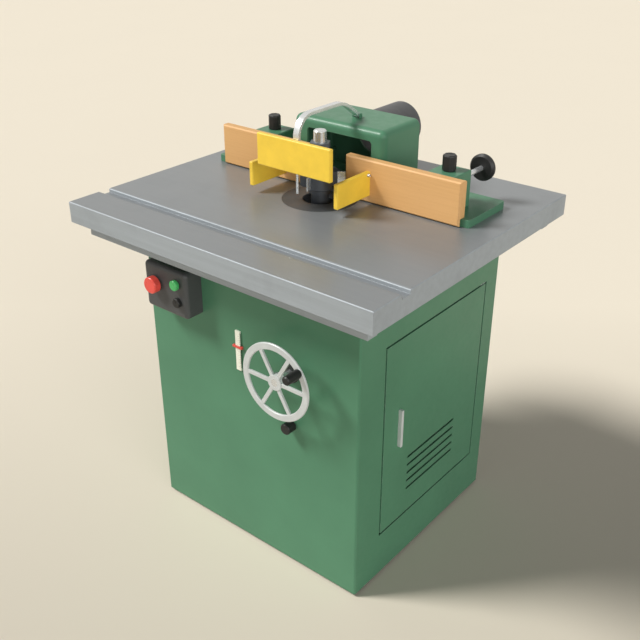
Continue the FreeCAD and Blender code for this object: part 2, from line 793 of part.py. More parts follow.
def make_door():
    """Side door: a tray of folded sheet with louvre slots, hung on two pins."""
    low_y, high_y = "-door_front", DOOR_BACK
    tray = box("door_tray", f"{RIGHT} - door_return", RIGHT, low_y, high_y, "door_bottom", DOOR_TOP)
    room = box("door_room", f"{RIGHT} - door_return - overrun", DOOR_IN, f"{low_y} + cabinet_sheet",
               f"{high_y} - cabinet_sheet", "door_bottom + cabinet_sheet", f"{DOOR_TOP} - cabinet_sheet")
    slots = []
    for k in range(LOUVRE_COUNT):
        low = f"louvre_bottom + louvre_pitch * {k}"
        slots.append(box(f"door_louvre_{k}", f"{DOOR_IN} - overrun", f"{RIGHT} + overrun", "-louvre_front",
                         "louvre_length - louvre_front", low, f"{low} + louvre_height"))
    pin_hole = rod("door_pin_hole", "z", "hinge_pin_radius + running_fit", "door_bottom - overrun",
                   f"{DOOR_TOP} + overrun", HINGE_X, HINGE_Y)
    middle = "-handle_front + handle_width / 2"
    screw_holes = [rod(f"door_screw_hole_{k}", "x", "handle_screw_radius + running_fit", f"{DOOR_IN} - overrun",
                       f"{RIGHT} + overrun", middle, z) for k, z in enumerate(handle_screw_heights())]
    keep("door", cut("door_cut", tray, room, pin_hole, *slots, *screw_holes))
    bar = box("handle_bar", RIGHT, f"{RIGHT} + handle_proud", "-handle_front", "-handle_front + handle_width",
              "handle_bottom", "handle_bottom + handle_height")
    bar = rounded("handle_bar_round", bar, S.handle_round, lambda e: ends(e)[1].x > S.cabinet_width / 2 + S.overrun)
    screws = [rod(f"handle_screw_{k}", "x", "handle_screw_radius", f"{DOOR_IN} - cabinet_sheet",
                  f"{RIGHT} + handle_proud / 2", middle, z) for k, z in enumerate(handle_screw_heights())]
    keep("door_handle", join("handle_join", bar, *screws))
    hinges = []
    for name, seat, reach in (("low", "door_bottom - clearance", "-"), ("high", f"{DOOR_TOP} + clearance", "")):
        far = f"{seat} {'-' if reach else '+'} hinge_tab_thick"
        low, high = (far, seat) if reach else (seat, far)
        tab = box(f"hinge_tab_{name}", f"{HINGE_X} - hinge_setback", DOOR_IN, f"{HINGE_Y} - hinge_setback",
                  f"{HINGE_Y} - hinge_setback + hinge_tab_length", low, high)
        tip = f"{seat} {'+' if reach else '-'} hinge_pin_length"
        low, high = (low, tip) if reach else (tip, high)
        pin = rod(f"hinge_pin_{name}", "z", "hinge_pin_radius", low, high, HINGE_X, HINGE_Y)
        hinges.append(join(f"hinge_{name}", tab, pin))
    keep("door_hinges", join("door_hinges_pair", *hinges))


def handle_screw_heights():
    return ("handle_bottom + handle_screw_inset", "handle_bottom + handle_height - handle_screw_inset")


def make_switch_box():
    """Hollow switch box on the front panel with its two buttons and its selector."""
    left, right = "-box_left", "-box_left + box_width"
    top = "box_bottom + box_height"
    shell = box("switch_shell", left, right, f"-({BOX_FACE})", FRONT, "box_bottom", top)

    def soft(edge):
        return ends(edge)[0].y < -S.cabinet_front - S.running_fit

    shell = rounded("switch_round", shell, S.box_round, soft)
    room = box("switch_room", f"{left} + box_wall", f"{right} - box_wall", f"-({BOX_FACE}) + box_wall",
               f"{FRONT} + overrun", "box_bottom + box_wall", f"{top} - box_wall")
    room = rounded("switch_room_round", room, S.box_round - S.box_wall, soft)
    bores = []
    for name, x, z in (("stop", "-stop_across", "stop_height"), ("start", "-start_across", "start_height"),
                       ("selector", "-selector_across", "selector_height")):
        bores.append(rod(f"switch_bore_{name}", "y", "button_stem_radius + running_fit",
                         f"-({BOX_FACE}) - overrun", f"-({BOX_FACE}) + box_wall + overrun", x, z))
    keep("switch_box", cut("switch_cut", shell, room, *bores))
    stem_end = f"{BOX_FACE} - button_stem"
    collar = [("0", stem_end), ("button_stem_radius + button_collar / 2", stem_end),
              ("button_stem_radius + button_collar / 2", f"{stem_end} + button_collar"),
              ("button_stem_radius", f"{stem_end} + button_collar")]
    cap_low = f"{BOX_FACE} + stop_stand"
    keep("stop_button", turned("stop_body", collar + [
        ("button_stem_radius", cap_low), ("stop_radius", cap_low),
        ("stop_radius", f"{cap_low} + stop_cap - stop_round"),
        ("stop_radius - stop_round", f"{cap_low} + stop_cap"), ("0", f"{cap_low} + stop_cap")],
        "-y", "-stop_across", "0", "stop_height"))
    cap_low = f"{BOX_FACE} + start_stand"
    cap_high = f"{cap_low} + start_cap"
    keep("start_button", turned("start_body", collar + [
        ("button_stem_radius", cap_low), ("start_radius", cap_low), ("start_radius", f"{cap_high} - start_round"),
        ("start_radius - start_round", cap_high), ("0", cap_high)], "-y", "-start_across", "0", "start_height"))
    top = f"{BOX_FACE} + selector_stand"
    dial = turned("selector_dial", collar + [
        ("button_stem_radius", f"{BOX_FACE} + clearance"), ("selector_radius", f"{BOX_FACE} + clearance"),
        ("selector_radius", f"{top} - start_round"), ("selector_radius - start_round", top), ("0", top)],
        "-y", "-selector_across", "0", "selector_height")
    groove = box("selector_index", "-selector_across - selector_groove / 2", "-selector_across + selector_groove / 2",
                 f"-({top}) - overrun", f"-({top}) + selector_groove / 2", "selector_height",
                 "selector_height + selector_radius + overrun")
    keep("selector_knob", cut("selector_cut", dial, groove))


def make_height_scale():
    """Scale strip standing off the panel, and the cursor that the carriage pushes along it."""
    mid = "-scale_offset"
    back = f"{FRONT} - scale_standoff"
    top = "scale_bottom + scale_height"
    strip = box("scale_strip", f"{mid} - scale_width / 2", f"{mid} + scale_width / 2", f"{back} - scale_thick",
                back, "scale_bottom", top)
    low_foot = box("scale_low_foot", f"{mid} - scale_width / 2", f"{mid} + scale_width / 2", back, FRONT,
                   "scale_bottom", "scale_bottom + scale_foot")
    high_foot = box("scale_high_foot", f"{mid} - scale_width / 2", f"{mid} + scale_width / 2", back, FRONT,
                    f"{top} - scale_foot", top)
    keep("height_scale", join("scale_join", strip, low_foot, high_foot))
    low_z, high_z = "cursor_height - cursor_tall / 2", "cursor_height + cursor_tall / 2"
    front = f"{back} - scale_thick - clearance"
    near = f"{back} + clearance"
    ring = box("cursor_ring", f"{mid} - cursor_width / 2", f"{mid} + cursor_width / 2",
               f"{front} - cursor_bar", f"{near} + cursor_back_bar", low_z, high_z)
    eye = box("cursor_eye", f"{mid} - scale_width / 2 - clearance", f"{mid} + scale_width / 2 + clearance",
              front, near, f"{low_z} - overrun", f"{high_z} + overrun")
    stem = box("cursor_stem_bar", f"{mid} - cursor_stem / 2", f"{mid} + cursor_stem / 2", near, "-pad_reach",
               low_z, high_z)
    keep("scale_cursor", join("cursor_join", cut("cursor_ring_cut", ring, eye), stem))


def make_cable_gland():
    """Empty mains gland in the back panel."""
    keep("cable_gland", turned("gland_body", [
        ("gland_bore", f"{BACK} - gland_neck / 2"), ("gland_neck_radius", f"{BACK} - gland_neck / 2"),
        ("gland_neck_radius", BACK), ("gland_radius", BACK), ("gland_radius", f"{BACK} + gland_nut"),
        ("gland_neck_radius", f"{BACK} + gland_nut"), ("gland_neck_radius", f"{BACK} + gland_neck"),
        ("gland_bore", f"{BACK} + gland_neck")], "y", "-gland_across", "0", "gland_height"))


def make_raising_gear():
    """Gear arm, bush, hand wheel shaft, lead screw and the lock on the screw."""
    low_x, high_x = "wheel_across - gear_arm_width / 2", "wheel_across + gear_arm_width / 2"
    wall = f"{FRONT} + cabinet_sheet"
    low = "gear_arm_top - gear_arm_thick"
    plate = box("gear_plate", low_x, high_x, wall, f"{wall} + gear_arm_plate", "lock_height - lock_boss_radius",
                "gear_arm_plate_top")
    arm = box("gear_beam", low_x, high_x, wall, "-screw_setback + gear_arm_nose", low, "gear_arm_top")
    post = box("gear_post", low_x, high_x, "-gear_post_front", "-gear_post_front + gear_post_thick", low,
               "gear_post_top")
    boss = rod("gear_lock_boss", "y", "lock_boss_radius", wall, f"{wall} + lock_boss_length", "wheel_across",
               "lock_height")
    shaft_bore = rod("gear_shaft_bore", "y", "shaft_radius + running_fit", f"{FRONT} - overrun",
                     "-gear_post_front + gear_post_thick + overrun", "wheel_across", "wheel_height")
    bush_room = rod("gear_bush_room", "y", "bush_radius + clearance", f"{FRONT} - overrun",
                    f"{wall} + bush_flange", "wheel_across", "wheel_height")
    lock_bore = rod("gear_lock_bore", "y", "lock_screw_radius + running_fit", f"{FRONT} - overrun",
                    f"{wall} + lock_boss_length + overrun", "wheel_across", "lock_height")
    screw_bore = rod("gear_screw_bore", "z", "screw_radius + running_fit", f"{low} - overrun",
                     "gear_arm_top + overrun", "wheel_across", "-screw_setback")
    keep("gear_arm", cut("gear_arm_cut", join("gear_arm_join", plate, arm, post, boss), shaft_bore, bush_room,
                         lock_bore, screw_bore))
    keep("shaft_bush", turned("bush_body", [
        ("shaft_radius + running_fit", "cabinet_front - cabinet_sheet - bush_flange"),
        ("bush_radius", "cabinet_front - cabinet_sheet - bush_flange"), ("bush_radius", "cabinet_front"),
        ("bush_flange_radius", "cabinet_front"), ("bush_flange_radius", "cabinet_front + bush_flange"),
        ("shaft_radius + running_fit", "cabinet_front + bush_flange")], "-y", "wheel_across", "0", "wheel_height"))
    apex = (S.wheel_across, -S.screw_setback, S.wheel_height)
    pinion = shaped("pinion_teeth", bevel_gear(0))
    pinion.Placement = Placement(Vector(*apex), Rotation(Vector(0, 0, -1), Vector(1, 0, 0), Vector(0, -1, 0)))
    shaft = rod("shaft_bar", "y", "shaft_radius", f"-({WHEEL_PLANE}) - wheel_hub_front",
                "-screw_setback - gear_radius + gear_face", "wheel_across", "wheel_height")
    hub = rod("pinion_hub", "y", "gear_hub_radius", "-screw_setback - gear_radius - gear_hub",
              "-screw_setback - gear_radius", "wheel_across", "wheel_height")
    keep("handwheel_shaft", join("shaft_join", shaft, hub, pinion))
    gear = shaped("screw_gear_teeth", bevel_gear(180 / GEAR_TEETH))
    gear.Placement = Placement(Vector(*apex), Rotation(Vector(0, -1, 0), Vector(-1, 0, 0), Vector(0, 0, -1)))
    gear_hub = rod("screw_gear_hub", "z", "gear_hub_radius", "gear_arm_top", "wheel_height - gear_radius",
                   "wheel_across", "-screw_setback")
    gear_bore = rod("screw_gear_bore", "z", "screw_radius + running_fit", "gear_arm_top - overrun",
                    "wheel_height", "wheel_across", "-screw_setback")
    keep("screw_gear", cut("screw_gear_cut", join("screw_gear_join", gear, gear_hub), gear_bore))
    keep("lead_screw", turned("lead_screw_body", [
        ("0", "screw_bottom"), ("screw_radius", "screw_bottom"), ("screw_radius", "screw_top - table_bevel"),
        ("screw_radius - table_bevel", "screw_top"), ("0", "screw_top")], "z", "wheel_across", "-screw_setback"))
    knob_low = "cabinet_front + lock_knob_gap"
    knob_high = f"{knob_low} + lock_knob_length"
    keep("lock_knob", turned("lock_body", [
        ("0", "screw_setback + screw_radius + clearance"),
        ("lock_screw_radius", "screw_setback + screw_radius + clearance"), ("lock_screw_radius", knob_low),
        ("lock_knob_radius", knob_low), ("lock_knob_radius", f"{knob_high} - lock_knob_bevel"),
        ("lock_knob_radius - lock_knob_bevel", knob_high), ("0", knob_high)],
        "-y", "wheel_across", "0", "lock_height"))


def bevel_gear(phase):
    """Mitre gear about +Z with its cone's tip at the origin; teeth taper towards that tip."""
    back, front = S.gear_radius, S.gear_radius - S.gear_face
    shrink = front / back
    root = S.gear_radius - S.gear_root
    tip = S.gear_radius + S.gear_tip
    blank = Part.makeCone(root * shrink, root, back - front, Vector(0, 0, front))
    teeth = []
    for k in range(GEAR_TEETH):
        corners = [(root - S.gear_tip, -S.tooth_root_width / 2), (tip, -S.tooth_tip_width / 2),
                   (tip, S.tooth_tip_width / 2), (root - S.gear_tip, S.tooth_root_width / 2)]
        wires = []
        for scale in (shrink, 1):
            points = [Vector(r * scale, w * scale, back * scale) for r, w in corners]
            wires.append(Part.makePolygon(points + points[:1]))
        tooth = Part.makeLoft(wires, True, True)
        tooth.rotate(Vector(), Vector(0, 0, 1), 360 * k / GEAR_TEETH + phase)
        teeth.append(tooth)
    return blank.fuse(teeth).removeSplitter()


def make_handwheel():
    """Spoked hand wheel with a grip that spins on a pin in its rim."""
    plane = f"-({WHEEL_PLANE})"
    inner, soft, deep = "wheel_radius - wheel_rim", "wheel_rim_bevel", "wheel_rim_deep"
    rim = turned("wheel_rim_ring", [
        (f"{inner} + {soft}", "0"), (f"wheel_radius - {soft}", "0"), ("wheel_radius", soft),
        ("wheel_radius", f"{deep} - {soft}"), (f"wheel_radius - {soft}", deep), (f"{inner} + {soft}", deep),
        (inner, f"{deep} - {soft}"), (inner, soft)],
        "y", "wheel_across", f"{plane} - {deep} / 2", "wheel_height")
    hub = rod("wheel_hub", "y", "wheel_hub_radius", f"{plane} - wheel_hub_front", f"{plane} + wheel_hub_back",
              "wheel_across", "wheel_height")
    spokes = []
    for k in range(SPOKE_COUNT):
        spoke = doc.addObject("Part::Box", f"wheel_spoke_{k}")
        spoke.setExpression("Length", bind("wheel_radius - wheel_rim / 2"))
        spoke.setExpression("Width", bind("wheel_spoke_deep"))
        spoke.setExpression("Height", bind("wheel_spoke"))
        turn = Rotation(Vector(0, 1, 0), -360 * k / SPOKE_COUNT)
        corner = turn.multVec(Vector(0, -S.wheel_spoke_deep / 2, -S.wheel_spoke / 2))
        centre = Vector(S.wheel_across, -S.cabinet_front - S.wheel_stand, S.wheel_height)
        spoke.Placement = Placement(centre + corner, turn)
        spokes.append(spoke)
    bore = rod("wheel_bore", "y", "shaft_radius + running_fit", f"{plane} - wheel_hub_front - overrun",
               f"{plane} + wheel_hub_back + overrun", "wheel_across", "wheel_height")
    around, up = grip_place()
    pin = rod("wheel_grip_pin", "y", "grip_pin_radius", f"{plane} - {deep} / 2 - grip_length + grip_round",
              plane, around, up)
    wheel = cut("wheel_cut", join("wheel_join", rim, hub, *spokes), bore)
    keep("handwheel", join("wheel_with_pin", wheel, pin))
    near = f"{WHEEL_PLANE} + {deep} / 2 + clearance"
    far = f"{near} + grip_length"
    keep("handwheel_grip", turned("grip_body", [
        ("grip_pin_radius + running_fit", near), ("grip_radius - grip_round / 2", near),
        ("grip_radius", f"{near} + grip_round"), ("grip_radius", f"{far} - grip_round"),
        ("grip_radius - grip_round", far), ("0", far), ("0", f"{far} - grip_round"),
        ("grip_pin_radius + running_fit", f"{far} - grip_round")], "-y", around, "0", up))


def grip_place():
    reach = "(wheel_radius - wheel_rim / 2)"
    return (f"wheel_across + {reach} * cos(grip_angle * 1deg)",
            f"wheel_height + {reach} * sin(grip_angle * 1deg)")


def make_columns():
    """Column head under the table and the two round columns that guide the carriage."""
    head = box("head_plate", "-head_width / 2", "head_width / 2", "-head_front", "head_back", "head_bottom", UNDER)
    eye = rod("head_eye", "z", "head_hole", "head_bottom - overrun", f"{UNDER} + overrun", "0", "0")
    holes = []
    for sign in ("-", ""):
        holes.append(rod(f"head_column_hole_{len(holes)}", "z", "column_radius + running_fit",
                         "head_bottom - overrun", f"{UNDER} + overrun", f"{sign}column_across", "column_back"))
    for k, (x, y) in enumerate(head_bolt_places()):
        holes.append(rod(f"head_bolt_hole_{k}", "z", "bolt_radius + clearance", "head_bottom - overrun",
                         f"{UNDER} + overrun", x, y))
    keep("column_head", cut("head_cut", head, eye, *holes))
    bars = [rod(f"column_{k}", "z", "column_radius", "column_bottom", UNDER, f"{sign}column_across", "column_back")
            for k, sign in enumerate(("-", ""))]
    keep("guide_columns", join("guide_columns_pair", *bars))


def make_carriage():
    """Carriage casting: quill, column bosses, nut lug and pointer pad in one piece."""
    quill = rod("carriage_quill", "z", "quill_radius", "quill_bottom", "quill_top", "0", "0")
    web = box("carriage_web", "-column_across", "column_across", "web_front", "web_back", "web_bottom", "web_top")
    bosses = [rod(f"carriage_boss_{k}", "z", "column_boss_radius", "column_boss_bottom", "column_boss_top",
                  f"{sign}column_across", "column_back") for k, sign in enumerate(("-", ""))]
    lug = box("carriage_lug", "quill_radius / 2", "wheel_across + lug_width / 2", "-screw_setback - lug_width / 2",
              "-screw_setback + lug_width / 2", "lug_bottom", "lug_top")
    pad = box("carriage_pad", "-scale_offset - pad_width / 2", "-scale_offset + pad_width / 2", "-pad_reach",
              "-quill_bore", "cursor_height - pad_width / 2", "cursor_height + pad_width / 2")
    body = join("carriage_join", quill, web, *bosses, lug, pad)
    bore = rod("carriage_bore", "z", "quill_bore", "quill_bottom - overrun", "quill_top + overrun", "0", "0")
    low_seat = rod("carriage_low_seat", "z", "bearing_radius + running_fit", "quill_bottom - overrun",
                   "quill_bottom + bearing_tall", "0", "0")
    high_seat = rod("carriage_high_seat", "z", "bearing_radius + running_fit", "quill_top - bearing_tall",
                    "quill_top + overrun", "0", "0")
    slides = [rod(f"carriage_slide_{k}", "z", "column_radius + running_fit", "web_bottom - overrun",
                  "column_boss_top + overrun", f"{sign}column_across", "column_back")
              for k, sign in enumerate(("-", ""))]
    nut_bore = rod("carriage_nut_bore", "z", "nut_radius + running_fit", "lug_bottom - overrun", "lug_top + overrun",
                   "wheel_across", "-screw_setback")
    keep("carriage", cut("carriage_cut", body, bore, low_seat, high_seat, *slides, nut_bore))
    rings = []
    for name, low in (("low", "quill_bottom"), ("high", "quill_top - bearing_tall")):
        race = rod(f"bearing_{name}_race", "z", "bearing_radius", low, f"{low} + bearing_tall", "0", "0")
        hole = rod(f"bearing_{name}_hole", "z", "bearing_bore + running_fit", f"{low} - overrun",
                   f"{low} + bearing_tall + overrun", "0", "0")
        rings.append(cut(f"bearing_{name}", race, hole))
    keep("spindle_bearings", join("spindle_bearings_pair", *rings))
    keep("raising_nut", turned("raising_nut_body", [
        ("screw_radius + running_fit", "lug_bottom - nut_flange"), ("nut_flange_radius", "lug_bottom - nut_flange"),
        ("nut_flange_radius", "lug_bottom"), ("nut_radius", "lug_bottom"), ("nut_radius", "lug_top"),
        ("screw_radius + running_fit", "lug_top")], "z", "wheel_across", "-screw_setback"))


def make_motor():
    """Motor hung on the carriage by its plate, with its rotor, pulleys and belt."""
    half = "motor_plate_width / 2"
    plate_low = "web_bottom - motor_plate_thick"
    plate = box("motor_plate_slab", f"-{half}", half, "motor_plate_front", "motor_plate_back", plate_low, "web_bottom")
    eye = rod("motor_plate_eye", "z", "motor_shaft_radius + clearance", f"{plate_low} - overrun",
              "web_bottom + overrun", "0", "motor_back")
    keep("motor_plate", cut("motor_plate_cut", plate, eye))
    case = rod("motor_case", "z", "motor_radius", "web_bottom", "motor_top", "0", "motor_back")
    fins = []
    for k in range(MOTOR_FIN_COUNT):
        fin = doc.addObject("Part::Box", f"motor_fin_{k}")
        fin.setExpression("Length", bind("motor_radius + motor_fin"))
        fin.setExpression("Width", bind("motor_fin_thick"))
        fin.setExpression("Height", bind("motor_top - web_bottom - 2 * motor_wall"))
        turn = Rotation(Vector(0, 0, 1), 360 * (k + 0.5) / MOTOR_FIN_COUNT)
        corner = turn.multVec(Vector(0, -S.motor_fin_thick / 2, 0))
        low = Vector(0, S.motor_back, S.web_bottom + S.motor_wall)
        fin.Placement = Placement(low + corner, turn)
        fins.append(fin)
    terminal = box("motor_terminal_box", "motor_radius / 2", "motor_radius + terminal_reach",
                   "motor_back - terminal_width / 2", "motor_back + terminal_width / 2",
                   "motor_top - motor_wall - terminal_tall", "motor_top - motor_wall")
    room = rod("motor_room", "z", "rotor_radius + rotor_gap", "web_bottom + motor_wall", "motor_top - motor_wall",
               "0", "motor_back")
    shaft_hole = rod("motor_shaft_hole", "z", "motor_shaft_radius + running_fit", "web_bottom - overrun",
                     "motor_top - motor_wall / 2", "0", "motor_back")
    keep("motor", cut("motor_cut", join("motor_join", case, terminal, *fins), room, shaft_hole))
    pulley_low = "belt_bottom - pulley_flange - clearance"
    rotor_low, rotor_high = "web_bottom + motor_wall + rotor_gap", "motor_top - motor_wall - rotor_gap"
    keep("motor_rotor", turned("rotor_body", [
        ("0", f"{pulley_low} - pulley_rim"), ("motor_shaft_radius", f"{pulley_low} - pulley_rim"),
        ("motor_shaft_radius", rotor_low), ("rotor_radius", rotor_low), ("rotor_radius", rotor_high),
        ("motor_shaft_radius", rotor_high), ("motor_shaft_radius", "motor_top - motor_wall / 2 - rotor_gap"),
        ("0", "motor_top - motor_wall / 2 - rotor_gap")], "z", "0", "motor_back"))
    keep("motor_pulley", belt_pulley("motor_pulley_body", "motor_shaft_radius", "motor_pulley_radius", "motor_back"))
    keep("spindle_pulley", belt_pulley("spindle_pulley_body", "pulley_seat", "spindle_pulley_radius", "0"))
    keep("drive_belt", shaped("drive_belt_loop", belt_loop()))


def belt_pulley(name, seat, radius, y):
    """Flanged belt pulley on a shaft seat."""
    low, high = "belt_bottom - clearance", "belt_bottom + belt_width + clearance"
    rim = f"{radius} + pulley_rim"
    return turned(name, [
        (f"{seat} + running_fit", f"{low} - pulley_flange"), (rim, f"{low} - pulley_flange"), (rim, low),
        (radius, low), (radius, high), (rim, high), (rim, f"{high} + pulley_flange"),
        (f"{seat} + running_fit", f"{high} + pulley_flange")], "z", "0", y)


def belt_loop():
    """Closed belt: two arcs round the pulleys joined by their common tangents."""
    faces = []
    for lift in (S.clearance, S.clearance + S.belt_thick):
        small, large = S.spindle_pulley_radius + lift, S.motor_pulley_radius + lift
        lean = math.asin((large - small) / S.motor_back)

        def spot(centre, radius, angle):
            return Vector(radius * math.cos(angle), centre + radius * math.sin(angle), S.belt_bottom)

        right_low, left_low = spot(0, small, -lean), spot(0, small, math.pi + lean)
        right_high, left_high = spot(S.motor_back, large, -lean), spot(S.motor_back, large, math.pi + lean)
        wire = Part.Wire([
            Part.Arc(left_low, spot(0, small, -math.pi / 2), right_low).toShape(),
            Part.LineSegment(right_low, right_high).toShape(),
            Part.Arc(right_high, spot(S.motor_back, large, math.pi / 2), left_high).toShape(),
            Part.LineSegment(left_high, left_low).toShape()])
        faces.append(Part.Face(wire))
    return faces[1].cut(faces[0]).extrude(Vector(0, 0, S.belt_width)).Solids[0]


def make_spindle():
    """Spindle with its cutter block, two knives, collars and nut."""
    pulley_low = "belt_bottom - clearance - pulley_flange"
    keep("spindle_shaft", turned("spindle_body", [
        ("0", pulley_low), ("pulley_seat", pulley_low), ("pulley_seat", "quill_bottom - clearance"),
        ("bearing_bore", "quill_bottom - clearance"), ("bearing_bore", "flange_bottom"),
        ("flange_radius", "flange_bottom"), ("flange_radius", "flange_top"), ("nose_radius", "flange_top"),
        ("nose_radius", "spindle_top - nose_bevel"), ("nose_radius - nose_bevel", "spindle_top"),
        ("0", "spindle_top")]))
    bore = "nose_radius + running_fit"
    block = turned("cutter_drum", [
        (bore, "cutter_bottom"), ("cutter_low_radius - cutter_bevel", "cutter_bottom"),
        ("cutter_low_radius", "cutter_bottom + cutter_bevel"), ("cutter_low_radius", "cutter_step"),
        ("cutter_high_radius", "cutter_step"), ("cutter_high_radius", "cutter_top - cutter_bevel"),
        ("cutter_high_radius - cutter_bevel", "cutter_top"), (bore, "cutter_top")])
    slots, knives = [], []
    for k, side in enumerate((0, 120, 240)):
        for name, grow, kept in (("slot", "running_fit", slots), ("knife", "0", knives)):
            blade = doc.addObject("Part::Box", f"{name}_{k}")
            blade.setExpression("Length", bind(f"knife_width + {grow}"))
            blade.setExpression("Width", bind(f"knife_thick + 2 * {grow}"))
            blade.setExpression("Height", bind(f"cutter_step - knife_bottom + {grow}"))
            slack = S.running_fit if name == "slot" else 0
            turn = Rotation(Vector(0, 0, 1), KNIFE_ANGLE + side)
            corner = turn.multVec(Vector(S.knife_reach - S.knife_width - slack, -S.knife_thick / 2 - slack, 0))
            blade.Placement = Placement(corner + Vector(0, 0, S.knife_bottom - slack), turn)
            kept.append(blade)
        gullet = doc.addObject("Part::Box", f"gullet_{k}")
        gullet.setExpression("Length", bind("cutter_low_radius + overrun - gullet_root"))
        gullet.setExpression("Width", bind("cutter_low_radius + overrun"))
        gullet.setExpression("Height", bind("cutter_low_tall + overrun"))
        corner = turn.multVec(Vector(S.gullet_root, -S.knife_thick / 2 - S.cutter_low_radius - S.overrun, 0))
        gullet.Placement = Placement(corner + Vector(0, 0, S.cutter_bottom - S.overrun), turn)
        slots.append(gullet)
    keep("cutter_block", cut("cutter_cut", block, *slots))
    keep("cutter_knives", join("cutter_knives_set", *knives))
    shoulder = "cutter_bottom - collar_head"
    low = turned("collar_low", [(bore, "flange_top"), ("collar_neck_radius", "flange_top"),
                                ("collar_neck_radius", shoulder), ("collar_radius", shoulder),
                                ("collar_radius", "cutter_bottom"), (bore, "cutter_bottom")])
    high = turned("collar_high", [(bore, "cutter_top"), ("spacer_radius", "cutter_top"),
                                  ("spacer_radius", "spacer_top"), (bore, "spacer_top")])
    keep("spindle_collars", join("spindle_collars_set", low, high))
    hexagon = doc.addObject("Part::Prism", "nut_hexagon")
    hexagon.Polygon = 6
    hexagon.setExpression("Circumradius", bind("nut_across_corners / 2"))
    hexagon.setExpression("Height", bind("nut_top - spacer_top"))
    put(hexagon, "0", "0", "spacer_top")
    thread = rod("nut_thread", "z", bore, "spacer_top - overrun", "nut_top + overrun", "0", "0")
    keep("spindle_nut", cut("nut_cut", hexagon, thread))


def make_fence_base():
    """Fence plate on the table with a notch round the cutter and a post for the adjuster."""
    plate = box("fence_slab", "-fence_left", "fence_right", "fence_front", "fence_back", "table_height", PLATE_TOP)
    relief = box("fence_relief", "0", "fence_right + overrun", "fence_front - overrun", "fence_front + slide_travel",
                 "table_height - overrun", f"{PLATE_TOP} + overrun")

    def outer_corner(edge):
        at_end = ends(edge)[0].x < -S.fence_left + S.running_fit or ends(edge)[1].x > S.fence_right - S.running_fit
        return straight(edge, "z") and at_end

    plate = rounded("fence_slab_round", cut("fence_slab_relieved", plate, relief), S.fence_corner, outer_corner)
    notch = box("fence_notch", "-fence_notch_left", "fence_notch_right", "fence_front - overrun", "fence_notch_back",
                "table_height - overrun", f"{PLATE_TOP} + overrun")
    holes = []
    for k, x in enumerate((LEFT_CLAMP_X, RIGHT_CLAMP_X)):
        holes.append(rod(f"fence_clamp_hole_{k}", "z", "clamp_stud_radius + clearance", "table_height - overrun",
                         f"{PLATE_TOP} + overrun", x, "clamp_setback"))
    for k, (x, y) in enumerate(hood_screw_places()):
        holes.append(rod(f"fence_screw_hole_{k}", "z", "hood_screw_radius + running_fit", "table_height - overrun",
                         f"{PLATE_TOP} + overrun", x, y))
        holes.append(rod(f"fence_screw_sink_{k}", "z", "hood_screw_head_radius + running_fit",
                         "table_height - overrun", "table_height + hood_screw_head + clearance", x, y))
    post = box("fence_post", "adjuster_across - post_width / 2", "adjuster_across + post_width / 2", "post_front",
               "post_front + post_thick", "table_height + fence_plate / 2", "post_top")
    thread = rod("fence_post_bore", "y", "adjuster_radius + running_fit", "post_front - overrun",
                 "post_front + post_thick + overrun", "adjuster_across", "adjuster_height")
    slab = cut("fence_slab_cut", plate, notch, *holes)
    keep("fence_base", cut("fence_base_cut", join("fence_base_join", slab, post), thread))


def hood_screw_places():
    inset = "hood_wall + hood_boss_inset"
    front, back = f"hood_front + {inset}", f"hood_back - ({inset})"
    return [(x, y) for x in (f"-hood_left + {inset}", f"hood_right - ({inset})") for y in (front, back)]


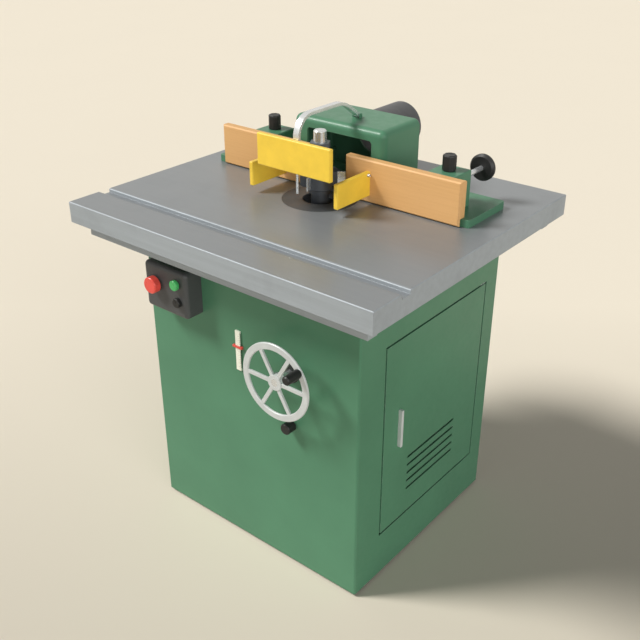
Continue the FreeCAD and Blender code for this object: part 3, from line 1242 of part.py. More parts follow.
def make_hood():
    """Dust hood over the back of the cutter, its screws and its outlet."""
    block = box("hood_block", "-hood_left", "hood_right", "hood_front", "hood_back", PLATE_TOP, "hood_top")

    def soft(edge):
        low, high = ends(edge)
        back_face = low.y > S.hood_back - S.running_fit
        foot = high.z < S.table_height + S.fence_plate + S.running_fit
        return not back_face and not foot

    block = rounded("hood_block_round", block, S.hood_round, soft)
    room = box("hood_room", "-hood_left + hood_wall", "hood_right - hood_wall", "hood_front + hood_wall",
               "hood_back - hood_wall", f"{PLATE_TOP} - overrun", "hood_top - hood_wall")
    inner_round = S.hood_round - S.hood_wall
    room = rounded("hood_room_round", room, inner_round,
                   lambda e: ends(e)[1].z > S.hood_top - S.hood_wall - S.running_fit or straight(e, "z"))
    mouth = box("hood_mouth", "-hood_mouth_left", "hood_mouth_right", "hood_front - overrun",
                "hood_front + hood_wall + overrun", f"{PLATE_TOP} - overrun", "hood_mouth_top")
    mouth = rounded("hood_mouth_round_block", mouth, S.hood_mouth_round,
                    lambda e: straight(e, "y") and ends(e)[0].z > S.hood_mouth_top - S.running_fit)
    throat = rod("hood_throat", "y", "port_throat", "hood_back - hood_wall - overrun", "hood_back + overrun", "0",
                 "port_height")
    shell = cut("hood_shell", block, room, mouth, throat)
    bosses, holes = [], []
    for k, (x, y) in enumerate(hood_screw_places()):
        bosses.append(rod(f"hood_boss_{k}", "z", "hood_boss_radius", PLATE_TOP,
                          f"{PLATE_TOP} + hood_boss_tall", x, y))
        holes.append(rod(f"hood_boss_hole_{k}", "z", "hood_screw_radius + running_fit", f"{PLATE_TOP} - overrun",
                         "table_height + hood_screw_length + clearance", x, y))
    keep("hood", cut("hood_cut", join("hood_join", shell, *bosses), *holes))
    screws = []
    for k, (x, y) in enumerate(hood_screw_places()):
        head = rod(f"hood_screw_head_{k}", "z", "hood_screw_head_radius", "table_height + clearance",
                   "table_height + hood_screw_head + clearance", x, y)
        shank = rod(f"hood_screw_shank_{k}", "z", "hood_screw_radius", "table_height + clearance",
                    "table_height + hood_screw_length", x, y)
        screws.append(join(f"hood_screw_{k}", head, shank))
    keep("hood_screws", join("hood_screws_set", *screws))
    keep("dust_port", turned("dust_port_body", [
        ("port_throat", "hood_back"), ("port_radius", "hood_back"), ("port_radius", "port_end"),
        ("port_radius - port_wall", "port_end"), ("port_radius - port_wall", "hood_back + port_plate"),
        ("port_throat", "hood_back + port_plate")], "y", "0", "0", "port_height"))


def make_bracket(side, low):
    """Hollow fence bracket, open below, with slots for the board's bolts and a hole for the clamp."""
    high = f"{low} + bracket_width"
    name = f"{side}_bracket"
    block = box(f"{name}_block", low, high, BOARD_BACK, "bracket_back", PLATE_TOP, "bracket_top")

    def soft(edge):
        low_end, high_end = ends(edge)
        behind = high_end.y > S.board_front + S.board_thick + S.running_fit
        return behind and high_end.z > S.table_height + S.fence_plate + S.running_fit

    block = rounded(f"{name}_round", block, S.bracket_round, soft)
    room = box(f"{name}_room", f"{low} + bracket_wall", f"{high} - bracket_wall", f"{BOARD_BACK} + bracket_wall",
               "bracket_back - bracket_wall", f"{PLATE_TOP} - overrun", "bracket_top - bracket_wall")
    start, far = bolt_run(side)
    slot_low, slot_high = (far, start) if side == "left" else (start, far)
    slots = []
    for k, z in enumerate(("board_bolt_low", "board_bolt_high")):
        grow = "board_bolt_radius + clearance"
        slots.append(box(f"{name}_slot_{k}", f"{slot_low} - ({grow})", f"{slot_high} + {grow}",
                         f"{BOARD_BACK} - overrun", f"{BOARD_BACK} + bracket_wall + overrun",
                         f"{z} - ({grow})", f"{z} + {grow}"))
    middle = f"{low} + bracket_width / 2"
    clamp = "clamp_stud_radius + clearance"
    travel = "0" if side == "left" else "slide_travel"
    slots.append(box(f"{name}_clamp_slot", f"{middle} - ({clamp})", f"{middle} + {clamp}",
                     f"clamp_setback - ({clamp}) - {travel}", f"clamp_setback + {clamp}",
                     "bracket_top - bracket_wall - overrun", "bracket_top + overrun"))
    if side == "right":
        slots.append(rod(f"{name}_adjuster_bore", "y", "adjuster_radius + running_fit",
                         "bracket_back - bracket_wall - overrun", "bracket_back + overrun",
                         "adjuster_across", "adjuster_height"))
    keep(name, cut(f"{name}_cut", block, room, *slots))


def bolt_run(side):
    """Where the board's bolts stand at rest and at the end of the board's travel."""
    inset = "bracket_wall + board_nut_radius + bolt_side_room"
    if side == "left":
        start = f"-left_bracket_inner - ({inset})"
        return start, f"{start} - board_travel"
    start = f"right_bracket_inner + {inset}"
    return start, f"{start} + board_travel"


def make_board(side, low, high):
    """Wooden fence board rebated over the plate, its bolts and its side guard."""
    name = f"{side}_board"
    bottom = "table_height + board_lift"
    plank = box(f"{name}_plank", low, high, "board_front", BOARD_BACK, bottom, "board_top")
    plank = bevelled(f"{name}_bevel", plank, S.board_bevel,
                     lambda e: ends(e)[1].y < S.board_front + S.running_fit
                     or (ends(e)[0].z > S.board_top - S.running_fit and straight(e, "x")))
    rebate = box(f"{name}_rebate", f"{low} - overrun", f"{high} + overrun", "fence_front - board_rebate_gap",
                 f"{BOARD_BACK} + overrun", f"{bottom} - overrun", f"{PLATE_TOP} + clearance")
    start, far = bolt_run(side)
    holes, bolts = [], []
    for k, z in enumerate(("board_bolt_low", "board_bolt_high")):
        tip = f"{BOARD_BACK} - board_bolt_bite"
        nut_face = f"{BOARD_BACK} + bracket_wall"
        holes.append(rod(f"{name}_hole_{k}", "y", "board_bolt_radius + running_fit", f"{tip} - clearance",
                         f"{BOARD_BACK} + overrun", start, z))
        shank = rod(f"{name}_bolt_shank_{k}", "y", "board_bolt_radius", tip, f"{nut_face} + board_nut / 2", start, z)
        head = rod(f"{name}_bolt_head_{k}", "y", "board_nut_radius", nut_face, f"{nut_face} + board_nut", start, z)
        bolts.append(join(f"{name}_bolt_{k}", head, shank))
    keep(name, cut(f"{name}_cut", plank, rebate, *holes))
    keep(f"{side}_board_bolts", join(f"{name}_bolts_pair", *bolts))
    middle = "-side_guard_left" if side == "left" else "side_guard_right"
    fin = box(f"{side}_fin", f"{middle} - side_guard_thick / 2", f"{middle} + side_guard_thick / 2",
              "-side_guard_front", "board_front", "side_guard_bottom", "side_guard_top")
    fin = rounded(f"{side}_fin_round", fin, S.guard_round, lambda e: ends(e)[0].y < S.board_front - S.running_fit)
    keep(f"{side}_side_guard", fin)


def make_clamps():
    """Black clamp knobs whose studs hold the brackets and the plate down to the table."""
    for side, x in (("left", LEFT_CLAMP_X), ("right", RIGHT_CLAMP_X)):
        top = "bracket_top + clamp_knob_tall"
        keep(f"{side}_clamp_knob", turned(f"{side}_clamp_body", [
            ("0", "table_height - clamp_depth"), ("clamp_stud_radius", "table_height - clamp_depth"),
            ("clamp_stud_radius", "bracket_top"), ("clamp_knob_radius", "bracket_top"),
            ("clamp_knob_radius", f"{top} - clamp_knob_bevel"), ("clamp_knob_radius - clamp_knob_bevel", top),
            ("0", top)], "z", x, "clamp_setback"))


def make_adjuster():
    """Screw and round knob that draw the right bracket back; a collar stands on each side of its wall."""
    inside, collar = "bracket_back - bracket_wall", "adjuster_collar_length"
    keep("adjuster_screw", turned("adjuster_body", [
        ("0", "adjuster_tip"), ("adjuster_radius", "adjuster_tip"), ("adjuster_radius", f"{inside} - {collar}"),
        ("adjuster_collar", f"{inside} - {collar}"), ("adjuster_collar", inside), ("adjuster_radius", inside),
        ("adjuster_radius", "bracket_back"), ("adjuster_collar", "bracket_back"),
        ("adjuster_collar", f"bracket_back + {collar}"), ("adjuster_radius", f"bracket_back + {collar}"),
        ("adjuster_radius", "adjuster_knob_front"),
        ("0", "adjuster_knob_front")], "y", "adjuster_across", "0", "adjuster_height"))
    far = "adjuster_knob_front + adjuster_knob_thick"
    keep("adjuster_knob", turned("adjuster_knob_body", [
        ("0", "adjuster_knob_front"), ("adjuster_knob_radius - adjuster_knob_round", "adjuster_knob_front"),
        ("adjuster_knob_radius", "adjuster_knob_front + adjuster_knob_round"),
        ("adjuster_knob_radius", f"{far} - adjuster_knob_round"),
        ("adjuster_knob_radius - adjuster_knob_round", far), ("0", far)],
        "y", "adjuster_across", "0", "adjuster_height"))


def make_guard():
    """Yellow front guard on a bent arm that hinges on top of the hood."""
    hinge_z = "hood_top + guard_hinge_lift"
    lugs = []
    for k, sign in enumerate(("-", "")):
        near, far = f"{sign}(arm_width / 2 + clearance)", f"{sign}(arm_width / 2 + clearance + guard_hinge_lug)"
        low, high = (far, near) if sign else (near, far)
        ear = rod(f"guard_ear_{k}", "x", "guard_hinge_eye", low, high, "guard_hinge_back", hinge_z)
        foot = box(f"guard_foot_{k}", low, high, "guard_hinge_back - guard_hinge_eye",
                   "guard_hinge_back + guard_hinge_eye", "hood_top", hinge_z)
        lugs.append(join(f"guard_lug_{k}", ear, foot))
    reach = "arm_width / 2 + clearance + guard_hinge_lug"
    pin = rod("guard_pin", "x", "guard_hinge_pin", f"-({reach})", reach, "guard_hinge_back", hinge_z)
    keep("guard_hinge", join("guard_hinge_join", *lugs, pin))
    keep("guard_arm", shaped("guard_arm_bar", guard_arm_shape()))
    plate = box("guard_sheet", "-guard_half", "guard_half", "-guard_front", GUARD_BACK, "guard_bottom", "guard_top")
    plate = rounded("guard_sheet_round", plate, S.guard_round, lambda e: True)
    block = box("guard_block", "-guard_block_half", "guard_block_half", f"{GUARD_BACK} - guard_round",
                f"{GUARD_BACK} + guard_block_deep", "guard_bottom + guard_round",
                "guard_bottom + guard_round + guard_block_tall")
    rod_y = f"{GUARD_BACK} + clearance + arm_thick / 2"
    bore = rod("guard_block_bore", "z", "guard_rod_radius + running_fit", "guard_bottom - overrun",
               "guard_bottom + guard_round + guard_block_tall + overrun", "0", rod_y)
    keep("guard_plate", cut("guard_plate_cut", join("guard_plate_join", plate, block), bore))


def guard_arm_shape():
    """Flat bar from the hinge up to a knee, forwards, and down to the rod behind the plate."""
    leg_y = -(S.guard_front - S.guard_thick) + S.clearance + S.arm_thick / 2
    level = S.arm_top - S.arm_thick / 2
    hinge = Vector(0, S.guard_hinge_back, S.hood_top + S.guard_hinge_lift)
    corners = [hinge, Vector(0, S.arm_knee, level), Vector(0, leg_y, level), Vector(0, leg_y, S.arm_leg_bottom)]
    edges = []
    start = corners[0]
    for before, corner, after, radius in zip(corners, corners[1:], corners[2:],
                                             (S.arm_knee_radius, S.arm_elbow_radius)):
        back, ahead = (before - corner).normalize(), (after - corner).normalize()
        half = back.getAngle(ahead) / 2
        run = radius / math.tan(half)
        centre = corner + (back + ahead).normalize() * (radius / math.sin(half))
        entry, leave = corner + back * run, corner + ahead * run
        middle = centre + (corner - centre).normalize() * radius
        edges.append(Part.LineSegment(start, entry).toShape())
        edges.append(Part.Arc(entry, middle, leave).toShape())
        start = leave
    edges.append(Part.LineSegment(start, corners[-1]).toShape())
    path = Part.Wire(edges)
    along = (corners[1] - corners[0]).normalize()
    side = Vector(1, 0, 0)
    lift = along.cross(side) * (S.arm_thick / 2)
    across = side * (S.arm_width / 2)
    frame = [hinge - across - lift, hinge + across - lift, hinge + across + lift, hinge - across + lift]
    bar = path.makePipeShell([Part.makePolygon(frame + frame[:1])], True, False)
    eye = Part.makeCylinder(S.guard_hinge_eye, S.arm_width, hinge - across, side)
    hole = Part.makeCylinder(S.guard_hinge_pin + S.running_fit, S.arm_width + S.overrun,
                             hinge - across - side * (S.overrun / 2), side)
    stem_top = S.arm_leg_bottom + S.arm_thick
    stem = Part.makeCylinder(S.guard_rod_radius, stem_top - S.guard_rod_bottom,
                             Vector(0, leg_y, S.guard_rod_bottom))
    return bar.fuse([eye, stem]).cut(hole).removeSplitter().Solids[0]


make_plinth()
make_cabinet()
make_table()
make_table_rails()
make_table_bolts()
make_door()
make_switch_box()
make_height_scale()
make_cable_gland()
make_raising_gear()
make_handwheel()
make_columns()
make_carriage()
make_motor()
make_spindle()
make_fence_base()
make_hood()
make_bracket("left", "-left_bracket_inner - bracket_width")
make_bracket("right", "right_bracket_inner")
make_board("left", "-board_inner - board_left_length", "-board_inner")
make_board("right", "board_inner", "board_inner + board_right_length")
make_clamps()
make_adjuster()
make_guard()
doc.recompute()

for obj in doc.Objects:
    if "Invalid" in obj.State or "Error" in obj.State:
        raise RuntimeError(f"{obj.Label} did not build: {obj.State}")
os.makedirs("parts", exist_ok=True)
for obj in SUB_PARTS:
    if obj.Shape.isNull() or not obj.Shape.isValid() or not obj.Shape.Solids:
        raise RuntimeError(f"{obj.Label} has no valid solid")
for obj in SUB_PARTS:
    obj.Shape.exportStep(f"parts/{obj.Label}.step")
print(len(SUB_PARTS), "sub-parts written")
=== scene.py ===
import json
import math

import bmesh
import bpy
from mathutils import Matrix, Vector


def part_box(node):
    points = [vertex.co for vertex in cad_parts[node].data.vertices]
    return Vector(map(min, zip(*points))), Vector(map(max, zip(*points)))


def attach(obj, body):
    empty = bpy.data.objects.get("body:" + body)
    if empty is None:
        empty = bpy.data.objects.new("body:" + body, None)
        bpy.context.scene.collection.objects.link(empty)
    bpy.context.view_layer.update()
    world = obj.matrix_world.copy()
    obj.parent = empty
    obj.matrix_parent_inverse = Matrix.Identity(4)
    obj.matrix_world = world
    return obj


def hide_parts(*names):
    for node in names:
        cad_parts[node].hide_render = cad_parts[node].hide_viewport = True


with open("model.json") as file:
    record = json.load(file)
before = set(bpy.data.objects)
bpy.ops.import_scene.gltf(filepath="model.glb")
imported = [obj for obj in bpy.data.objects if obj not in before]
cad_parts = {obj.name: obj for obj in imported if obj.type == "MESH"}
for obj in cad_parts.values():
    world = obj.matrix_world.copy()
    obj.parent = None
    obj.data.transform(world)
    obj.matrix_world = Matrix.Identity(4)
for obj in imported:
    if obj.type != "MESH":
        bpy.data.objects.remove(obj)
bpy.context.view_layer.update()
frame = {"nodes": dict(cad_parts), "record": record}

MM = 0.001


# ---------------------------------------------------------------- materials
class Look:
    """One procedural material: a principled shader and the nodes that feed it."""

    def __init__(self, name, metallic=0.0, specular=0.5, coat=0.0, edge=1.2):
        self.material = bpy.data.materials.new(name)
        self.material.use_nodes = True
        self.tree = self.material.node_tree
        self.tree.nodes.clear()
        output = self.node("ShaderNodeOutputMaterial")
        self.shader = self.node("ShaderNodeBsdfPrincipled")
        self.tree.links.new(self.shader.outputs["BSDF"], output.inputs["Surface"])
        self.shader.inputs["Metallic"].default_value = metallic
        self.shader.inputs["Specular IOR Level"].default_value = specular
        self.shader.inputs["Coat Weight"].default_value = coat
        self.shader.inputs["Coat Roughness"].default_value = 0.15
        self.place = self.node("ShaderNodeTexCoord").outputs["Object"]
        self.normal = None
        if edge:
            soft = self.node("ShaderNodeBevel")
            soft.samples = 6
            soft.inputs["Radius"].default_value = edge * MM
            self.normal = soft.outputs["Normal"]

    def node(self, kind, **values):
        node = self.tree.nodes.new(kind)
        for name, value in values.items():
            setattr(node, name, value)
        return node

    def feed(self, socket, value):
        if isinstance(value, bpy.types.NodeSocket):
            self.tree.links.new(value, socket)
        else:
            socket.default_value = value

    def math(self, operation, *values):
        node = self.node("ShaderNodeMath", operation=operation)
        for socket, value in zip(node.inputs, values):
            self.feed(socket, value)
        return node.outputs["Value"]

    def stretched(self, x, y, z):
        """The object's own coordinates, scaled along each axis."""
        node = self.node("ShaderNodeMapping")
        self.feed(node.inputs["Vector"], self.place)
        node.inputs["Scale"].default_value = (x, y, z)
        return node.outputs["Vector"]

    def noise(self, scale, detail=3.0, rough=0.5, vector=None, warp=0.0):
        node = self.node("ShaderNodeTexNoise")
        self.feed(node.inputs["Vector"], vector or self.place)
        node.inputs["Scale"].default_value = scale
        node.inputs["Detail"].default_value = detail
        node.inputs["Roughness"].default_value = rough
        node.inputs["Distortion"].default_value = warp
        return node.outputs["Fac"]

    def span(self, value, low, high, to_low, to_high):
        node = self.node("ShaderNodeMapRange")
        self.feed(node.inputs["Value"], value)
        limits = {"From Min": low, "From Max": high, "To Min": to_low, "To Max": to_high}
        for name, number in limits.items():
            node.inputs[name].default_value = number
        return node.outputs["Result"]

    def ramp(self, value, *stops):
        node = self.node("ShaderNodeValToRGB")
        self.feed(node.inputs["Fac"], value)
        marks = node.color_ramp.elements
        while len(marks) < len(stops):
            marks.new(0.5)
        for mark, (at, colour) in zip(marks, stops):
            mark.position = at
            mark.color = (*colour, 1.0)
        return node.outputs["Color"]

    def mix(self, share, first, second):
        node = self.node("ShaderNodeMix", data_type="RGBA", blend_type="MIX")
        self.feed(node.inputs[0], share)
        for socket, value in ((node.inputs[6], first), (node.inputs[7], second)):
            self.feed(socket, value if isinstance(value, bpy.types.NodeSocket) else (*value, 1.0))
        return node.outputs[2]

    def edges(self, radius, start, full):
        """1 along the outer edges of a solid, 0 on its faces."""
        wide = self.node("ShaderNodeBevel")
        wide.samples = 6
        wide.inputs["Radius"].default_value = radius * MM
        dot = self.node("ShaderNodeVectorMath", operation="DOT_PRODUCT")
        self.feed(dot.inputs[0], wide.outputs["Normal"])
        self.feed(dot.inputs[1], self.node("ShaderNodeNewGeometry").outputs["Normal"])
        return self.span(dot.outputs["Value"], start, full, 0.0, 1.0)

    def bump(self, height, strength, depth):
        node = self.node("ShaderNodeBump")
        node.inputs["Strength"].default_value = strength
        node.inputs["Distance"].default_value = depth * MM
        self.feed(node.inputs["Height"], height)
        if self.normal:
            self.feed(node.inputs["Normal"], self.normal)
        self.normal = node.outputs["Normal"]

    def done(self, colour, roughness):
        self.feed(self.shader.inputs["Base Color"], colour)
        self.feed(self.shader.inputs["Roughness"], roughness)
        if self.normal:
            self.feed(self.shader.inputs["Normal"], self.normal)
        return self.material


def shade(colour, factor):
    return tuple(min(1.0, c * factor) for c in colour)


def paint(name, colour, rough=(0.32, 0.42), worn=(0.42, 0.46, 0.43)):
    """Satin enamel: slow drifts of tone, fine orange peel, edges rubbed a little lighter."""
    look = Look(name, specular=0.24, coat=0.03, edge=1.6)
    drift = look.noise(5.0, 4.0, 0.55)
    tone = look.ramp(drift, (0.30, shade(colour, 0.93)), (0.70, shade(colour, 1.07)))
    patches = look.span(look.noise(38.0, 5.0, 0.7), 0.42, 0.66, 0.0, 0.5)
    tone = look.mix(look.math("MULTIPLY", look.edges(2.2, 0.97, 0.80), patches), tone, worn)
    look.bump(look.noise(420.0, 2.0, 0.5), 0.06, 0.20)
    return look.done(tone, look.span(look.noise(60.0, 3.0, 0.6), 0.3, 0.7, *rough))


def plastic(name, colour, rough=(0.38, 0.50), grain=900.0, depth=0.06, pale=1.6, specular=0.45):
    """Moulded plastic: a fine spark-eroded grain, tone a little uneven, edges polished by hands."""
    look = Look(name, specular=specular, edge=1.0)
    drift = look.noise(22.0, 4.0, 0.6)
    tone = look.ramp(drift, (0.32, shade(colour, 0.93)), (0.68, shade(colour, 1.06)))
    tone = look.mix(look.math("MULTIPLY", look.edges(1.6, 0.97, 0.80), 0.45), tone, shade(colour, pale))
    look.bump(look.noise(grain, 2.0, 0.6), 0.25, depth)
    return look.done(tone, look.span(look.noise(95.0, 3.0, 0.6), 0.3, 0.7, *rough))


def steel(name, colour, rough=(0.20, 0.34), along=(1.0, 1.0, 1.0), metallic=0.95, marks=0.12, edge=0.5):
    """Machined metal: fine tool marks across the cut, faint stains, brighter arrises."""
    look = Look(name, metallic=metallic, edge=edge)
    lines = look.noise(650.0, 3.0, 0.6, look.stretched(*along))
    stain = look.noise(30.0, 4.0, 0.6)
    tone = look.ramp(stain, (0.28, shade(colour, 0.86)), (0.66, colour))
    tone = look.mix(look.span(lines, 0.3, 0.7, 0.0, 0.22), tone, shade(colour, 0.74))
    tone = look.mix(look.math("MULTIPLY", look.edges(1.0, 0.97, 0.80), 0.5), tone, shade(colour, 1.25))
    look.bump(lines, marks, 0.05)
    return look.done(tone, look.span(stain, 0.3, 0.7, *rough))


def cast(name, colour, metallic=0.35, rough=(0.50, 0.66), grain=260.0):
    """Rough casting: sandy skin with darker hollows."""
    look = Look(name, metallic=metallic, edge=2.0)
    sand = look.noise(grain, 5.0, 0.65)
    tone = look.ramp(sand, (0.30, shade(colour, 0.72)), (0.70, shade(colour, 1.15)))
    tone = look.mix(look.span(look.noise(9.0, 3.0), 0.35, 0.7, 0.0, 0.3), tone, shade(colour, 0.80))
    look.bump(sand, 0.35, 0.25)
    return look.done(tone, look.span(sand, 0.3, 0.7, *rough))


def ground_iron(name, top, side):
    """Cast iron with a ground top: fine grinding lines along X, faint oil stains and rougher sides; the sides
    are painted paler as a stand-in for the light they catch.
    """
    look = Look(name, metallic=0.30, specular=0.5, edge=1.4)
    lines = look.noise(1.0, 4.0, 0.65, look.stretched(9.0, 620.0, 620.0))
    broad = look.noise(1.0, 3.0, 0.5, look.stretched(2.0, 70.0, 70.0))
    stain = look.noise(7.0, 5.0, 0.6)
    facing = look.node("ShaderNodeSeparateXYZ")
    look.feed(facing.inputs["Vector"], look.node("ShaderNodeTexCoord").outputs["Normal"])
    # painted light: faces that don't face up take the paler side tone, standing in for the extra light the
    # vertical faces catch
    ground = look.span(facing.outputs["Z"], 0.80, 0.95, 0.0, 1.0)
    tone = look.mix(ground, side, top)
    tone = look.mix(look.span(lines, 0.30, 0.70, 0.0, 0.12), tone, shade(top, 0.60))
    tone = look.mix(look.span(broad, 0.35, 0.70, 0.0, 0.20), tone, shade(top, 0.85))
    tone = look.mix(look.span(stain, 0.52, 0.74, 0.0, 0.30), tone, shade(top, 0.80))
    tone = look.mix(look.math("MULTIPLY", look.edges(1.8, 0.97, 0.80), 0.15), tone, side)
    look.bump(lines, 0.06, 0.04)
    milled = look.math("MULTIPLY", look.math("SUBTRACT", 1.0, ground), 0.30)
    return look.done(tone, look.math("ADD", look.span(stain, 0.35, 0.70, 0.29, 0.36), milled))


def timber(name, pale, mid, dark):
    """Planed beech: long growth bands and short dark flecks along X, pores, open end grain."""
    look = Look(name, specular=0.35, edge=1.2)
    sway = look.noise(1.0, 3.0, 0.5, look.stretched(2.6, 12.0, 26.0), warp=0.6)
    bands = look.noise(1.0, 4.0, 0.62, look.stretched(1.6, 60.0, 95.0), warp=0.35)
    fibre = look.noise(1.0, 3.0, 0.7, look.stretched(26.0, 900.0, 900.0))
    fleck = look.noise(1.0, 2.0, 0.5, look.stretched(55.0, 420.0, 420.0))
    tone = look.ramp(bands, (0.30, mid), (0.48, pale), (0.72, mid))
    tone = look.mix(look.span(sway, 0.40, 0.75, 0.0, 0.45), tone, mid)
    tone = look.mix(look.span(fibre, 0.50, 0.80, 0.0, 0.25), tone, dark)
    tone = look.mix(look.span(fleck, 0.66, 0.78, 0.0, 0.40), tone, dark)
    look.bump(fibre, 0.16, 0.10)
    return look.done(tone, look.span(fibre, 0.3, 0.7, 0.46, 0.60))


def rule(name, white, ink, low, high, left, right):
    """A printed strip: short lines every 5 mm and long ones every 10 mm up its height."""
    look = Look(name, specular=0.4, edge=0.6)
    axis = look.node("ShaderNodeSeparateXYZ")
    look.feed(axis.inputs["Vector"], look.place)
    across = look.math("DIVIDE", look.math("SUBTRACT", axis.outputs["X"], left), right - left)
    up = look.math("SUBTRACT", axis.outputs["Z"], low)

    def lines(pitch, width, reach):
        on_line = look.math("LESS_THAN", look.math("PINGPONG", up, pitch / 2), width / 2)
        return look.math("MULTIPLY", on_line, look.math("GREATER_THAN", across, 1.0 - reach))

    marks = look.math("MAXIMUM", lines(5 * MM, 0.35 * MM, 0.30), lines(10 * MM, 0.5 * MM, 0.45))
    margin = 3 * MM
    inside = look.math("MULTIPLY", look.math("GREATER_THAN", up, margin),
                       look.math("LESS_THAN", up, high - low - margin))
    worn = look.noise(150.0, 4.0, 0.6)
    ground = look.ramp(look.noise(40.0, 3.0), (0.3, shade(white, 0.93)), (0.7, white))
    fade = look.span(worn, 0.2, 0.5, 0.45, 0.8)
    printed = look.math("MULTIPLY", look.math("MULTIPLY", marks, inside), fade)
    tone = look.mix(printed, ground, ink)
    look.bump(worn, 0.08, 0.04)
    return look.done(tone, look.span(worn, 0.3, 0.7, 0.36, 0.48))


GREEN = (0.083, 0.226, 0.131)
TURNED = (0.06, 0.06, 1.0)  # tool marks drawn out round the piece
scale_low, scale_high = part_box("height_scale")
LOOKS = {
    "green_paint": paint("green_enamel", GREEN),
    # painted shade: the recessed plinth is coloured near-black to stand in for the contact shadow line at the
    # cabinet's foot
    "dark_paint": paint("plinth_black_painted_shade", (0.030, 0.036, 0.034), worn=(0.12, 0.12, 0.12)),
    # table top and sides are one iron; the paler second tone is painted light on the sides
    "table_iron": ground_iron("ground_table_iron_with_painted_side_light", (0.262, 0.278, 0.290), (0.378, 0.414, 0.440)),
    "ring_steel": steel("blued_ring_steel", (0.092, 0.099, 0.103), (0.36, 0.48), metallic=0.4),
    "bright_steel": steel("bright_turned_steel", (0.78, 0.80, 0.81), (0.18, 0.30), TURNED, metallic=0.75),
    "silver": steel("silver_enamel", (0.62, 0.645, 0.635), (0.36, 0.46),
                    metallic=0.08, marks=0.04, edge=1.0),
    "dark_steel": steel("black_oxide_steel", (0.081, 0.091, 0.105), (0.30, 0.40), TURNED, metallic=0.3),
    "black_plastic": plastic("black_moulded_plastic", (0.015, 0.015, 0.0145), pale=2.0, specular=0.36),
    "box_plastic": plastic("switch_box_plastic", (0.062, 0.064, 0.065), (0.42, 0.54), pale=1.5),
    "grey_plastic": plastic("grey_moulded_plastic", (0.082, 0.082, 0.085), (0.44, 0.56)),
    "yellow_guard": plastic("yellow_guard_plastic", (0.95, 0.635, 0.060), (0.34, 0.44),
                            grain=700.0, depth=0.05, pale=1.10),
    "fence_wood": timber("planed_beech", pale=(0.760, 0.440, 0.180), mid=(0.715, 0.403, 0.158),
                         dark=(0.575, 0.303, 0.110)),
    "red_plastic": plastic("red_moulded_plastic", (0.76, 0.082, 0.061), (0.26, 0.36),
                           grain=1100.0, depth=0.03, pale=1.12),
    "green_plastic": plastic("green_moulded_plastic", (0.067, 0.440, 0.126), (0.26, 0.36),
                             grain=1100.0, depth=0.03, pale=1.20),
    "scale_white": rule("printed_height_rule", (0.93, 0.93, 0.79), (0.10, 0.10, 0.09),
                        scale_low.z, scale_high.z, scale_low.x, scale_high.x),
    "bronze": steel("turned_bronze", (0.56, 0.36, 0.16), (0.26, 0.40)),
    "inner_iron": cast("primed_cast_iron", (0.17, 0.18, 0.18)),
    "motor_paint": cast("grey_motor_casting", (0.20, 0.23, 0.25), metallic=0.1, rough=(0.42, 0.56)),
    "rotor_steel": steel("laminated_rotor_steel", (0.30, 0.30, 0.31), (0.36, 0.48), TURNED, metallic=0.8),
    "belt_rubber": plastic("belt_rubber", (0.018, 0.018, 0.019), (0.62, 0.78),
                           grain=500.0, depth=0.15, pale=2.0, specular=0.3),
}
for entry in frame["record"]["subparts"]:
    mesh = frame["nodes"][entry["node"]].data
    look = LOOKS[entry["material_slot"]]
    if not mesh.materials:
        mesh.materials.append(look)
    for number in range(len(mesh.materials)):
        mesh.materials[number] = look


# ------------------------------------------------------------ added pieces
def add_piece(name, points, faces, body, slot):
    """A mesh piece in metres that rides on a body and takes its finish from a slot."""
    mesh = bpy.data.meshes.new(name)
    mesh.from_pydata([tuple(p) for p in points], [], faces)
    shape = bmesh.new()
    shape.from_mesh(mesh)
    bmesh.ops.recalc_face_normals(shape, faces=shape.faces)
    shape.to_mesh(mesh)
    shape.free()
    mesh.materials.append(LOOKS[slot])
    piece = bpy.data.objects.new(name, mesh)
    bpy.context.scene.collection.objects.link(piece)
    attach(piece, body)
    return piece


def lathe(rings, place, count=48):
    """Stacked closed rings from (reach, height); reach may be a function of the angle."""
    points, faces = [], []
    for reach, height in rings:
        for k in range(count):
            angle = 2 * math.pi * k / count
            radius = reach(angle) if callable(reach) else reach
            points.append(place(radius * math.cos(angle), radius * math.sin(angle), height))
    for row in range(len(rings) - 1):
        for k in range(count):
            here, there = row * count + k, row * count + (k + 1) % count
            faces.append((here, there, there + count, here + count))
    faces.append(tuple(range(count)))
    faces.append(tuple(range((len(rings) - 1) * count, len(rings) * count)))
    return points, faces


def octagon(flat, corner):
    """Reach of an eight-sided grip with its corners eased."""
    def reach(angle):
        lean = (angle + 0.30) % (math.pi / 4) - math.pi / 8
        return min(flat / math.cos(lean), corner) * MM
    return reach


GRIP_TALL = 36 * MM
STUD_RADIUS = 6 * MM


def add_clamp_knob(side):
    """Eight-sided clamp knob with a dished top on its round stud."""
    low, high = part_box(f"{side}_clamp_knob")
    x, y = (low.x + high.x) / 2, (low.y + high.y) / 2
    grip = high.z - GRIP_TALL
    stud = STUD_RADIUS
    rings = [(stud, low.z), (stud, grip), (octagon(13.2, 14.0), grip),
             (octagon(14.6, 15.4), grip + 1.4 * MM), (octagon(14.6, 15.4), high.z - 3.4 * MM),
             (octagon(13.6, 14.3), high.z - 1.2 * MM), (octagon(12.2, 12.8), high.z),
             (octagon(9.6, 10.0), high.z - 0.2 * MM), (6.0 * MM, high.z - 0.9 * MM)]
    points, faces = lathe(rings, lambda a, b, h: (x + a, y + b, h), 96)
    piece = add_piece(f"{side}_clamp_grip", points, faces, f"{side}_clamp", "black_plastic")
    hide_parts(f"{side}_clamp_knob")


LOUVRE_COUNT = 5
LOUVRE_FIRST = 66.7  # mm over the door's lower edge
LOUVRE_PITCH = 23.5  # mm
LOUVRE_FRONT, LOUVRE_BACK = -65.5 * MM, 142.5 * MM
LOUVRE_END = 0.8 * MM
DOOR_SHEET = 3 * MM


